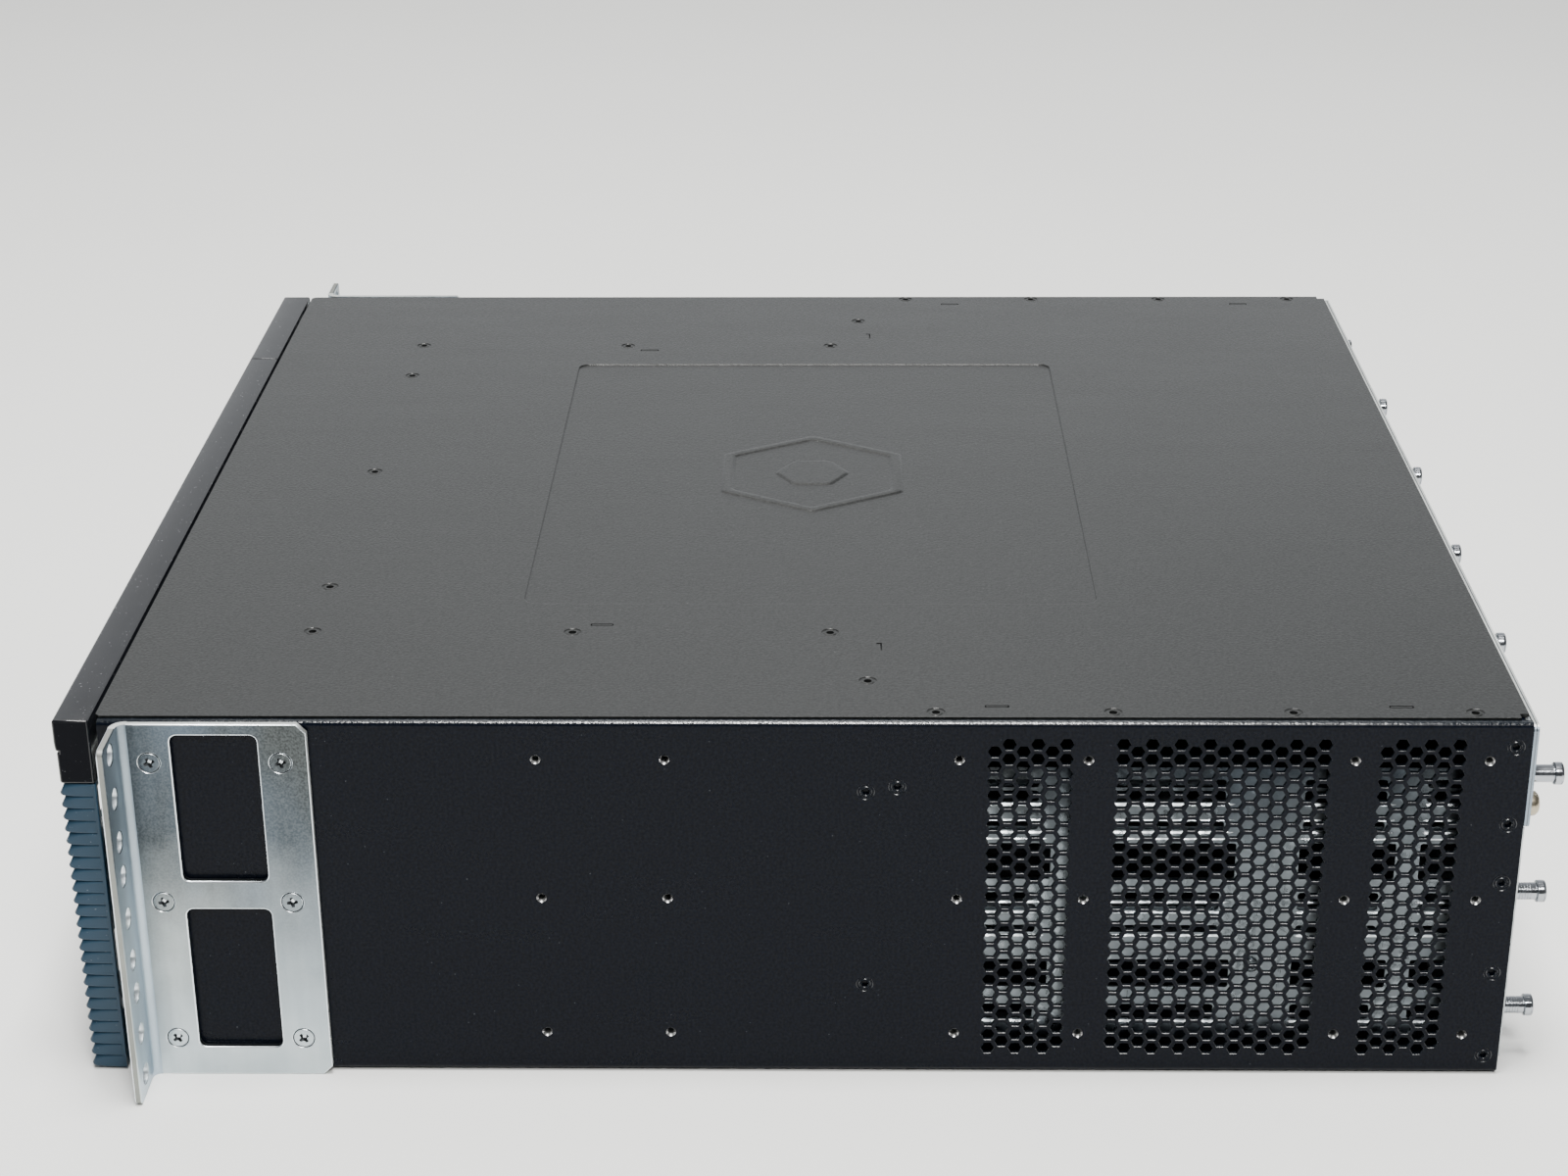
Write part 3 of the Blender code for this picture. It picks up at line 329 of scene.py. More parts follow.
def powder_coat(name, colour, roughness, grain=0.00005, specular=0.5, sparkle=0.2, painted_glint=()):
    """Fine-textured paint with faint clouding and specks. painted_glint gives the Y of the middle of a
    painted highlight, made by raising the specular level there, and the distances from it, in metres, at
    which the highlight starts to fade and has gone."""
    f = Finish(name)
    clouds = f.noise(14.0, 4.0)
    grains = f.noise(900.0, 3.0)
    rubbed = f.noise(60.0, 5.0, stretch=(1.0, 0.25, 1.0))
    specks = f.spread(f.noise(900.0, 1.0), 0.79, 0.82)
    base = f.mix(f.spread(clouds, 0.3, 0.7), tint(colour, 0.9), tint(colour, 1.1))
    base = f.mix(f.spread(grains, 0.35, 0.65), tint(colour, 0.7), f.mix(0.5, base, tint(colour, 1.5)))
    base = f.mix(f.maths("MULTIPLY", specks, 0.12), base, (0.42, 0.43, 0.43))
    f.colour(base)
    f.rough(f.spread(rubbed, 0.3, 0.7, roughness - 0.015, roughness + 0.02))
    f.normal(f.bump(grains, grain))
    shine = f.spread(f.noise(1100.0, 2.0), 0.35, 0.65, specular * (1 - sparkle), specular * (1 + sparkle))
    # Painted highlight: the specular level peaks round one Y and fades away from it.
    if painted_glint:
        middle, near, far = painted_glint
        y = f.node("ShaderNodeSeparateXYZ", Vector=f.space).outputs["Y"]
        away = f.maths("ABSOLUTE", f.maths("SUBTRACT", y, middle))
        shine = f.maths("MULTIPLY", shine, f.spread(away, near, far, 1.0, 0.06))
    f.feed(f.shader.inputs["Specular IOR Level"], shine)
    return f.material


def plated(name, colour, roughness, streak=(1, 1, 1), spangle=0, mottle=0.12, stain=0.35, painted_dark_above=(), shaded=()):
    """Bare or plated metal: clouded tone, brushed streaks, small stains and, where asked, zinc crystals.
    painted_dark_above and shaded are pairs of heights in metres: painted_dark_above is painted shade and dark
    reflection that fades in upwards between them, and shaded is painted shade that fades in downwards."""
    f = Finish(name, metallic=1.0)
    clouds = f.noise(22.0, 4.0)
    streaks = f.noise(160.0, 3.0, stretch=streak)
    stains = f.spread(f.noise(130.0, 4.0), 0.62, 0.78)
    base = f.mix(f.spread(clouds, 0.3, 0.7), tint(colour, 1.0 - mottle), tint(colour, 1.0 + mottle / 2))
    base = f.mix(f.spread(streaks, 0.3, 0.7, 0.0, 0.35), base, tint(colour, 0.8))
    base = f.mix(f.maths("MULTIPLY", stains, stain), base, tint(colour, 0.6))
    rough = f.spread(streaks, 0.25, 0.75, roughness - 0.06, roughness + 0.09)
    # Painted shade and dark reflection: the tone darkens towards the top.
    if painted_dark_above:
        z = f.node("ShaderNodeSeparateXYZ", Vector=f.space).outputs["Z"]
        z = f.maths("ADD", z, f.maths("MULTIPLY", f.noise(55.0, 4.0), 0.03))
        amount = f.spread(z, *painted_dark_above, 0.0, 0.97)
        fine = f.spread(f.noise(1400.0, 3.0), 0.35, 0.65)
        base = f.mix(amount, base, f.mix(fine, tint(colour, 0.05), tint(colour, 0.13)))
        blue = f.spread(f.noise(24.0, 3.0, stretch=(1.0, 1.0, 0.4)), 0.42, 0.68, 0.0, 0.55)
        base = f.mix(blue, base, f.mix(0.5, base, tint((0.36, 0.5, 0.68), colour[0])))
    # Painted shade: the tone darkens towards the bottom.
    if shaded:
        z = f.node("ShaderNodeSeparateXYZ", Vector=f.space).outputs["Z"]
        base = f.mix(f.spread(z, *shaded, 0.9, 0.0), base, (0.035, 0.05, 0.075))
    if spangle:
        cells = f.node("ShaderNodeTexVoronoi", Vector=f.space, Scale=240.0)
        flake = f.node("ShaderNodeSeparateColor", Color=cells.outputs["Color"]).outputs[0]
        base = f.mix(f.spread(flake, 0.0, 1.0, 0.0, spangle), base, tint(colour, 0.62))
        rough = f.maths("ADD", rough, f.spread(flake, 0.0, 1.0, -0.08, 0.08))
    f.colour(base)
    f.rough(rough)
    f.normal(f.bump(f.maths("ADD", streaks, f.noise(900.0, 2.0)), 0.00002))
    return f.material


def moulded(name, colour, roughness, haze=0.1, grain=0.00001, specular=0.5):
    """Plastic with faint flow marks, fine scratches and dust."""
    f = Finish(name)
    flow = f.noise(18.0, 3.0)
    scratches = f.spread(f.noise(120.0, 2.0, stretch=(6.0, 1.0, 1.0)), 0.68, 0.74)
    specks = f.spread(f.noise(1100.0, 1.0), 0.73, 0.77)
    base = f.mix(f.spread(flow, 0.3, 0.7), tint(colour, 0.9), tint(colour, 1.12))
    base = f.mix(f.maths("MULTIPLY", scratches, haze), base, tint(colour, 2.5))
    base = f.mix(f.maths("MULTIPLY", specks, 0.3), base, (0.35, 0.36, 0.38))
    f.colour(base)
    f.rough(f.spread(f.noise(70.0, 4.0), 0.3, 0.7, roughness - 0.03, roughness + 0.06))
    f.normal(f.bump(f.noise(1300.0, 2.0), grain))
    f.feed(f.shader.inputs["Specular IOR Level"], specular)
    return f.material


COVER_PAINT = powder_coat("cover_paint", (0.0105, 0.0112, 0.011), 0.3, 0.00012, 0.27)
SIDE_PAINT = powder_coat("side_paint", (0.0013, 0.0024, 0.0056), 0.28, 0.00005, 0.1)
# Painted highlight: a lighter, glossier copy of the side paint whose shine fades along Y, for the wrap's
# rounded top edge.
BEND_GLINT_PAINT = powder_coat("bend_glint_paint", (0.004, 0.006, 0.009), 0.2, 0.0003, 1.0, 0.5, (0.015, 0.06, 0.235))
# Painted highlight: a lighter, glossier copy of the side paint for the lips and walls of the vents and the
# ring slopes of the flush rivets.
RIM_HIGHLIGHT_PAINT = powder_coat("rim_highlight_paint", (0.004, 0.006, 0.009), 0.26, 0.00005, 0.6)
# Painted dark reflection: the ears' zinc darkens towards the top.
ZINC = plated("zinc", (0.57, 0.63, 0.64), 0.34, (1.0, 2.0, 0.15), mottle=0.3, painted_dark_above=(0.03, 0.108))
SHEARED = plated("sheared_zinc", (0.66, 0.68, 0.66), 0.5, (1.0, 1.0, 0.3), mottle=0.25)
# Painted dark reflection: the flange's zinc darkens towards the top.
BLUE_ZINC = plated("flange_zinc", (0.46, 0.54, 0.6), 0.36, (1.0, 1.0, 0.2), mottle=0.2, painted_dark_above=(0.06, 0.24))
DULL_EDGE = plated("sheared_zinc_tip", (0.3, 0.31, 0.29), 0.55, (1.0, 1.0, 0.3), mottle=0.3)
# Painted shade: a near-black zinc for hole walls, recess walls and grooves.
ZINC_PAINTED_SHADE = plated("zinc_painted_shade", (0.06, 0.065, 0.07), 0.4)
# Painted shade: the cage wall darkens towards its top and towards its bottom.
CAGE_METAL = plated(
    "cage_sheet", (0.29, 0.325, 0.35), 0.32, (1.0, 1.0, 0.1), 0.06, 0.06, 0.05, (0.095, 0.125), (0.01, 0.018)
)
# Painted highlight: near-white metal for edge lips, screw rims, rack-hole walls and the cage's lips.
EDGE_HIGHLIGHT_METAL = plated("edge_highlight_metal", (0.9, 0.96, 1.0), 0.3)
GALVANISED = plated("galvanised_sheet", (0.52, 0.55, 0.56), 0.42, spangle=0.35)
YELLOW_ZINC = plated("yellow_zinc", (0.42, 0.37, 0.28), 0.25)
PLATE_SIDE = plated("plate_side", (0.26, 0.31, 0.36), 0.34)
NICKEL = plated("polished_nickel", (0.42, 0.44, 0.47), 0.13)
SILVER = plated("silver_sheet", (0.16, 0.18, 0.2), 0.28, streak=(0.2, 1.0, 2.0))
STEEL = plated("bare_steel", (0.5, 0.5, 0.5), 0.3)
GLOSS = moulded("gloss_black", (0.004, 0.0045, 0.006), 0.16, haze=0.03, specular=0.45)
# Painted shade: the cap's plastic with its reflection almost turned off, for the cap's end faces.
GLOSS_SHADED_END = moulded("gloss_black_shaded_end", (0.003, 0.0035, 0.0055), 0.2, haze=0.03, specular=0.05)
SLATE = moulded("slate_moulding", (0.01, 0.035, 0.062), 0.4, specular=0.3)
PLASTIC = moulded("black_plastic_moulding", (0.012, 0.012, 0.014), 0.45, grain=0.00003)
ALUMINIUM = plated("extruded_aluminium", (0.7, 0.7, 0.71), 0.38, streak=(1.0, 0.1, 1.0))
BOARD = moulded("solder_mask", (0.012, 0.085, 0.04), 0.4, grain=0.00004)

FINISHES = {
    "powder_coat_top": COVER_PAINT,
    "powder_coat_side": SIDE_PAINT,
    "zinc_plate": ZINC,
    "galvanised": GALVANISED,
    "nickel": NICKEL,
    "black_gloss": GLOSS,
    "slate_blue": SLATE,
    "silver_plate": SILVER,
    "circuit_green": BOARD,
    "aluminium": ALUMINIUM,
    "black_plastic": PLASTIC,
}

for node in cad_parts.values():
    for holder in node.material_slots:
        name = holder.material.name.split(".")[0] if holder.material else ""
        holder.material = FINISHES.get(name, GALVANISED)


# Shell


HEX_PITCH_Z = 5.37
HEX_FLAT = 3.98
HEX_COLUMN = 4.65
HEX_ROWS = 22
HEX_TOP = 125.2
# (setback of the first column, columns, 1 where the first column is a low one)
HEX_ZONES = ((173.05, 6, 1), (131.45, 15, 0), (46.25, 6, 1))
FLANGE = 16.0
FLANGE_SETBACKS = (460.0, 1.9)
FLAT_RUN = 0.5  # flat stretch that is shaded with each bend
WALL_LOW, WALL_HIGH = WRAP_LOW + BEND + FLAT_RUN, WRAP_TOP - BEND - FLAT_RUN


def hexagons():
    """Centres of the vent holes as (y, z)."""
    found = []
    for setback, columns, first in HEX_ZONES:
        for i in range(columns):
            top = HEX_TOP - (HEX_PITCH_Z / 2 if (i + first) % 2 else 0.0)
            found += [(back(setback - i * HEX_COLUMN), top - j * HEX_PITCH_Z) for j in range(HEX_ROWS)]
    return found


def side_wall():
    """Right-hand wall of the wrap with vents, rail holes and flush rivets, on its outer face."""
    shape = Shape(Place((HALF_WIDTH, 0, 0), (0, 1, 0), (0, 0, 1)))
    front, rear = back(SHELL_FRONT), REAR_Y
    outline = rectangle(front, rear, WALL_LOW, WALL_HIGH)
    outer, inner = [], []
    radius = HEX_FLAT / 2 / math.cos(math.pi / 6)
    for y, z in hexagons():
        steps = [circle(y, z, radius * k, 6) for k in (1.07, 1.0)]
        # Lips and walls in slot 2, the painted highlight paint.
        shape.levels([(steps[0], 0.0), (steps[1], -0.14)], smooth=False, slot=2)
        shape.wall(steps[1], -0.14, -SHEET, slot=2)
        outer.append(steps[0])
        inner.append(steps[1])
    for y, z in RAIL_HOLES:
        loops = [circle(y, z, r) for r in (1.95, 1.7, 1.6)]
        shape.levels([(loops[0], 0.0), (loops[1], -0.06), (loops[2], -0.3), (loops[2], -SHEET)])
        outer.append(loops[0])
        inner.append(loops[2])
    for y, z in EAR_SCREWS:
        loop = circle(y, z, EAR_SCREW_HOLE)
        shape.levels([(loop, 0.0), (loop, -SHEET)])
        outer.append(loop)
        inner.append(loop)
    for y, z in FLUSH_RIVETS:
        rows = ((2.9, 0.0), (2.65, -0.2), (2.05, -0.2), (1.8, 0.0), (1.4, 0.0), (1.15, -0.3), (0.95, -2.5))
        loops = [(circle(y, z, r, 32), h) for r, h in rows]
        # Ring slopes in slot 2, the painted highlight paint.
        for i in range(len(loops) - 1):
            shape.levels(loops[i : i + 2], slot=2 if i in (0, 2, 4) else 0)
        shape.fill(loops[-1][0], loops[-1][1])
        outer.append(loops[0][0])
    shape.web(outline, outer)
    shape.web(outline, inner, height=-SHEET, flip=True)
    return shape


def bend_points(radius):
    """Cross-sections of the right-hand bends as (x, z) pairs, from the flange down and from the wall down."""
    x, top, low = HALF_WIDTH - BEND, WRAP_TOP - BEND, WRAP_LOW + BEND
    upper = [(x - FLAT_RUN, top + radius), *arc(x, top, radius, 90, 0, 8), (x + radius, WALL_HIGH)]
    lower = [(x + radius, WALL_LOW), *arc(x, low, radius, 0, -90, 8), (x - FLAT_RUN, low - radius)]
    return upper, lower


def ledge_points():
    """Right-hand top bend where the flange steps down beside the cover: outer and inner (x, z) pairs."""
    x, z = LEDGE
    centre = (HALF_WIDTH - LEDGE_BEND, z - LEDGE_BEND)
    under = WRAP_TOP - SHEET
    outer = [(x, WRAP_TOP), (x, z - 0.2), (x + 0.2, z), *arc(*centre, LEDGE_BEND, 90, 0, 8)]
    inner = [(x, under), (x + 0.3, under), (x + 0.5, under + 0.1), *arc(*centre, 0.05, 90, 0, 8)]
    return outer + [(HALF_WIDTH, WALL_HIGH)], inner + [(HALF_WIDTH - SHEET, WALL_HIGH)]


def wrap_half(ledge):
    """Right half of the wrap: wall, bends, flange and half of the floor. With a ledge, the top bend stands up
    beside the cover and its rounded edge carries a strip of painted highlight."""
    front, rear = back(SHELL_FRONT), REAR_Y
    shape = side_wall()
    outer, inner = bend_points(BEND), bend_points(BEND - SHEET)
    if ledge:
        points = ledge_points()
        outer, inner = (points[0], outer[1]), (points[1], inner[1])
    for a, b in zip(outer, inner):
        ends = [[[(x, y, z) for x, z in line] for y in (front, rear)] for line in (a, b)]
        (a_front, a_rear), (b_front, b_rear) = ends
        shape.rings([a_front, a_rear], closed=False)
        shape.rings([b_rear, b_front], closed=False)
        shape.rings([b_front, a_front], closed=False, smooth=False)
        shape.rings([a_rear, b_rear], closed=False, smooth=False)
    if ledge:
        # Painted highlight: a strip laid just over the rounded edge, in the glint paint.
        glint_strip = outer[0][1:8]
        rows = [[(x + 0.01, y, z + 0.01) for x, z in glint_strip] for y in (front, rear)]
        shape.rings(rows, closed=False, slot=1)
    floor_edge = HALF_WIDTH - BEND - FLAT_RUN
    flange_edge = LEDGE[0] if ledge else floor_edge
    flange_y = back(FLANGE_SETBACKS[0]), back(FLANGE_SETBACKS[1])
    shape.box((HALF_WIDTH - FLANGE, flange_y[0], WRAP_TOP - SHEET), (flange_edge, flange_y[1], WRAP_TOP))
    shape.box((0.0, front, WRAP_LOW), (floor_edge, rear, WRAP_LOW + SHEET))
    for y, turn in ((front, 1), (rear, -1)):
        corners = rectangle(HALF_WIDTH - SHEET, HALF_WIDTH, WALL_LOW, WALL_HIGH)
        shape.add([Vector((x, y, z)) for x, z in corners[::turn]], [[0, 1, 2, 3]])
    return shape


wrap = Shape()
wrap.join(wrap_half(True))
wrap.join(mirrored(wrap_half(False)))
wrap_paint = (SIDE_PAINT, BEND_GLINT_PAINT, RIM_HIGHLIGHT_PAINT)
wrap.piece("wrap_sheet", wrap_paint, "chassis", "powder_coat_side", ("chassis_wrap",))

INSERT_SIDES = 20
INSERT_MOUTH = ((-5.0, 1.05), (-1.0, 1.05), (-0.85, 1.12), (-0.12, 1.66), (-0.05, 1.7))
inserts = Shape()
for y, z in RAIL_HOLES:
    inserts.turned(INSERT_MOUTH, (HALF_WIDTH, y, z), (1, 0, 0), INSERT_SIDES)
    inserts.turn_over(INSERT_SIDES * (len(INSERT_MOUTH) - 1))
both = Shape()
both.join(inserts)
both.join(mirrored(inserts))
both.piece("rail_hole_inserts", STEEL, "chassis", "nickel")


# Edges and bends


def inset(path, distance, closed=True):
    """The path moved to its left by a distance, corner by corner."""
    count = len(path)
    moved = []
    for i, point in enumerate(path):
        before = path[i - 1] if closed or i else None
        after = path[(i + 1) % count] if closed or i < count - 1 else None
        sides = []
        for a, b in ((before, point), (point, after)):
            if a and b and math.dist(a, b) > 0.0001:
                along = Vector((b[0] - a[0], b[1] - a[1])).normalized()
                sides.append(Vector((-along.y, along.x)))
        normal = sum(sides, Vector((0, 0))).normalized()
        reach = distance / max(normal.dot(sides[0]), 0.3)
        moved.append((point[0] + normal.x * reach, point[1] + normal.y * reach))
    return moved


def lips(thickness, ease):
    """(distance in, height) round the two lips of a sheet's edge, from its back face to its front."""
    angles = [math.pi / 6 * i for i in range(4)]
    turns = [(ease * (1 - math.sin(a)), ease * (1 - math.cos(a))) for a in angles]
    return [(e, rise - thickness) for e, rise in turns] + [(e, -rise) for e, rise in turns[::-1]]


def rim(shape, path, thickness, ease, slot=2):
    """Rounded outer edge of a sheet, along an open anticlockwise path, with its front lip in slot 1."""
    rows = [(inset(path, e, closed=False), h) for e, h in lips(thickness, ease)]
    loops = [[shape.place.point(u, v, h) for u, v in path] for path, h in rows]
    for start, end, finish in ((0, 4, 0), (3, 5, slot), (4, 8, 1)):
        shape.rings(loops[start:end], closed=False, slot=finish)


def eased_hole(shape, make, thickness, ease, slot=3):
    """Wall of a hole with rounded lips, the front lip in slot 1. make(e) gives the loop grown by e. Returns
    the loop to leave out."""
    rows = [(make(e), h) for e, h in lips(thickness, ease)[::-1]]
    for start, end, finish in ((0, 4, 1), (3, 5, slot), (4, 8, 0)):
        shape.levels(rows[start:end], slot=finish)
    return rows[0][0]


# Top cover


COVER_SHEET = 1.2
COVER_RIVETS = (
    [(x, 405.4) for x in (-150.5, -111.5, 0.0, 111.5, 149.5)]
    + [(x, s) for s in (315.4, 226.5) for x in (-150.0, 150.0)]
    + [(x, 214.0) for x in (-183.5, 188.3)]
    + [(x, s) for s in (192.1, 134.6, 76.2, 17.4) for x in (-214.8, 211.6)]
)
COVER_SLOTS = ((144.0, 305.6), (207.5, 172.1), (207.5, 40.6))
COVER_SLOT = (1.7, 8.0)
COVER_TAB = (0.85, 7.2)
COVER_TAB_DROP = 0.12
COVER_SLOT_DEPTH = 1.8
LANCE_MARKS = ((158.6, 208.9), (-166.0, 208.9))
COVER_SPAN = (-218.2, 215.3)
COVER_FRONT = 465.8
# (radius, height) down a rivet, from its ring to the bottom of its bore
RIVET_STEPS = (
    (3.15, 0.0), (3.05, -0.03), (2.85, -0.3), (2.35, -0.32),
    (2.0, -0.15), (1.65, -0.06), (1.35, -0.1), (1.25, -3.0),
)
RECESS = (0.0, back(233.6), 252.0, 202.4)
RECESS_DEPTH = 0.6
RECESS_CORNER = 5.0
# (inset, height) down the edge of the recess
RECESS_EDGE = (
    (-0.3, 0.0), (-0.1, -0.03), (0.05, -0.14), (0.12, -0.3),
    (0.2, -0.46), (0.35, -0.57), (0.6, -RECESS_DEPTH),
)
EMBOSS_RISE = 0.55
EMBOSS_REACH = 40.0
EMBOSS_WIDTH = 4.2
EMBOSS_CORE = 14.0
EMBOSS_CORNER = 3.0


def cover():
    """Flat sheet with notched rear corners, rivets, tab slots, lance marks and the stamped recess."""
    shape = Shape(Place((0, 0, HEIGHT), (1, 0, 0), (0, 1, 0)))
    front, rear = back(COVER_FRONT), REAR_Y - 0.3
    left, right = COVER_SPAN
    notch, chamfer, ease = 3.0, 1.5, 0.05
    outline = [
        (left, front + chamfer), (left + chamfer, front), (right - chamfer, front), (right, front + chamfer),
        (right, rear - notch), (right - notch, rear - notch), (right - notch, rear),
        (left + notch, rear), (left + notch, rear - notch), (left, rear - notch),
    ]
    top = inset(outline, ease)
    holes = []
    shape.levels([(outline, -COVER_SHEET), (outline, -ease), (top, 0.0)], smooth=False)
    shape.fill(outline, -COVER_SHEET, flip=True)
    for x, setback in COVER_RIVETS:
        loops = [(circle(x, back(setback), r, 28), h) for r, h in RIVET_STEPS]
        for start, end in ((0, 3), (2, 4), (3, 7), (6, 8)):
            shape.levels(loops[start:end])
        shape.fill(loops[-1][0], loops[-1][1])
        holes.append(loops[0][0])
    for x, setback in [(s * x, y) for x, y in COVER_SLOTS for s in (1, -1)]:
        ring = rounded(x, back(setback), *COVER_SLOT, 0.5, 3)
        tab = rounded(x - 0.2, back(setback), *COVER_TAB, 0.3, 3)
        shape.wall(ring, 0.0, -COVER_SLOT_DEPTH)
        shape.levels([(ring, -COVER_SLOT_DEPTH), (tab, -COVER_SLOT_DEPTH)], smooth=False)
        shape.wall(tab, -COVER_TAB_DROP, -COVER_SLOT_DEPTH)
        shape.turn_over(len(tab))
        shape.fill(tab, -COVER_TAB_DROP)
        holes.append(ring)
    for x, setback in LANCE_MARKS:
        y = back(setback)
        corner = [(0, 0), (0, -1.8), (0.9, -1.8), (0.9, -0.45), (6.4, -0.45), (6.4, 0)]
        mark = [(x + dx, y + dy) for dx, dy in corner]
        shape.wall(mark, 0.0, -COVER_SHEET)
        holes.append(mark)
    u, v, width, depth = RECESS
    loops = [rounded(u, v, width - 2 * e, depth - 2 * e, RECESS_CORNER - e, 6) for e, drop in RECESS_EDGE]
    shape.levels([(loop, drop) for loop, (e, drop) in zip(loops, RECESS_EDGE)])
    holes.append(loops[0])
    shape.web(top, holes)
    outside, inside = emboss(shape, u, v)
    shape.web(loops[-1], [outside], height=-RECESS_DEPTH)
    shape.web(inside[0], [inside[1]], height=-RECESS_DEPTH)
    return shape


def emboss(shape, u, v):
    """Raised hexagon ring round a smaller raised hexagon. Returns the outline of the ring, and the pair of
    outlines between ring and core."""

    def hexagon(reach, radius, turn=0.0):
        return rounded_polygon(u, v, 6, reach, radius, turn=turn, steps=4)

    rises = (0.0, 0.12, 0.4, EMBOSS_RISE)
    outer = [hexagon(EMBOSS_REACH + e, EMBOSS_CORNER + e) for e in (1.0, 0.5, 0.0, -0.5)]
    inner_reach = EMBOSS_REACH - EMBOSS_WIDTH
    inner = [hexagon(inner_reach - e, EMBOSS_CORNER - 0.5 * e) for e in (-0.5, 0.0, 0.5, 1.0)]
    insets = (-1.0, -0.5, 0.0, 0.6, 1.2)
    core = [hexagon(EMBOSS_CORE - e, EMBOSS_CORNER - 0.5 * e, math.pi / 6) for e in insets]
    ring = [*zip(outer, rises), *zip(inner, rises[::-1])]
    for steps in (ring, zip(core, (0.0, 0.12, 0.4, 0.53, EMBOSS_RISE))):
        shape.levels([(loop, h - RECESS_DEPTH) for loop, h in steps])
    shape.fill(core[-1], EMBOSS_RISE - RECESS_DEPTH)
    return outer[0], (inner[-1], core[0])


cover().piece("cover_sheet", COVER_PAINT, "chassis", "powder_coat_top", ("top_cover",))


# Screws


def cross(reach, half, corner=0.12):
    """Outline of a cross recess, anticlockwise."""
    points = []
    for i in range(4):
        a = math.pi / 2 * i
        c, s = math.cos(a), math.sin(a)
        arm = [(reach, -half + corner), (reach, half - corner), (reach - corner, half)]
        for u, v in (*arm, (half + corner, half), (half, half + corner)):
            points.append((u * c - v * s, u * s + v * c))
    return points


def flat_screw():
    """Countersunk cross-recess head with its face at height 0, facing +Z."""
    shape = Shape()
    crown, bottom = 0.08, -1.1
    rows = ((1.9, -1.9), (3.45, -0.35), (3.45, -0.15), (3.3, 0.0), (3.0, 0.05), (2.4, crown))
    loops = [(circle(0, 0, r, 28), h) for r, h in rows]
    shape.levels(loops[:2])
    # Painted highlight: the rim of the head and the bottom of the recess are in slot 1.
    shape.levels(loops[1:4], slot=1)
    shape.levels(loops[3:])
    top, low = cross(1.85, 0.62, 0.2), cross(0.7, 0.3)
    shape.web(loops[-1][0], [top], height=crown)
    # Painted shade: the walls of the recess are in slot 2.
    shape.levels([(top, crown), (low, bottom)], smooth=False, slot=2)
    shape.fill(low, bottom, slot=1)
    return shape


def pan_screw(radius=2.6, height=1.4):
    """Small pan-head cross-recess screw on a face at height 0, facing +Z."""
    shape = Shape()
    rows = ((1.0, 0.0), (1.0, 0.45), (0.94, 0.7), (0.75, 0.92), (0.6, 1.0))
    loops = [(circle(0, 0, radius * r, 24), height * h) for r, h in rows]
    shape.levels(loops)
    top, low = cross(radius * 0.52, radius * 0.14, 0.06), cross(radius * 0.28, radius * 0.1, 0.05)
    bottom = height - 0.9
    shape.web(loops[-1][0], [top], height=height)
    shape.levels([(top, height), (low, bottom)], smooth=False)
    shape.fill(low, bottom)
    return shape


def facing(location, side):
    """Matrix that puts a shape made facing +Z on a side wall, facing outwards."""
    return Matrix.Translation(Vector(location)) @ Matrix.Rotation(side * math.pi / 2, 4, "Y")


# Rack ears


EAR_SHEET = 2.3
EAR_FRONT = 459.5
EAR_REAR = 396.0
EAR_Z = (0.1, 133.3)
EAR_EDGE = 0.35
EAR_CORNER = 3.1
EAR_WINDOWS = ((10.9, 64.7), (75.3, 129.3))
EAR_WINDOW_Y = (440.6, 412.3)
EAR_WINDOW_CORNER = 2.4
EAR_TURN = 2.6  # inner radius of the bend
EAR_FLAT = 0.3  # flat stretch that is shaded with the bend
RACK_HALF = 241.3
RACK_HOLE_X = 232.6
RACK_HOLE = 3.6
RACK_HOLES = (7.2, 23.075, 38.95, 51.65, 67.525, 83.4, 96.1, 111.975, 127.85)
FLANGE_CORNER = 2.2


def tabbed(start, end, corner, steps):
    """Outline of an ear's face: square at the bend, with its two far corners cut or rounded."""
    low, high = EAR_Z
    foot = arc(end - corner, low + corner, corner, -90, 0, steps)
    head = arc(end - corner, high - corner, corner, 0, 90, steps)
    return [(start, low), *foot, *head, (start, high)]


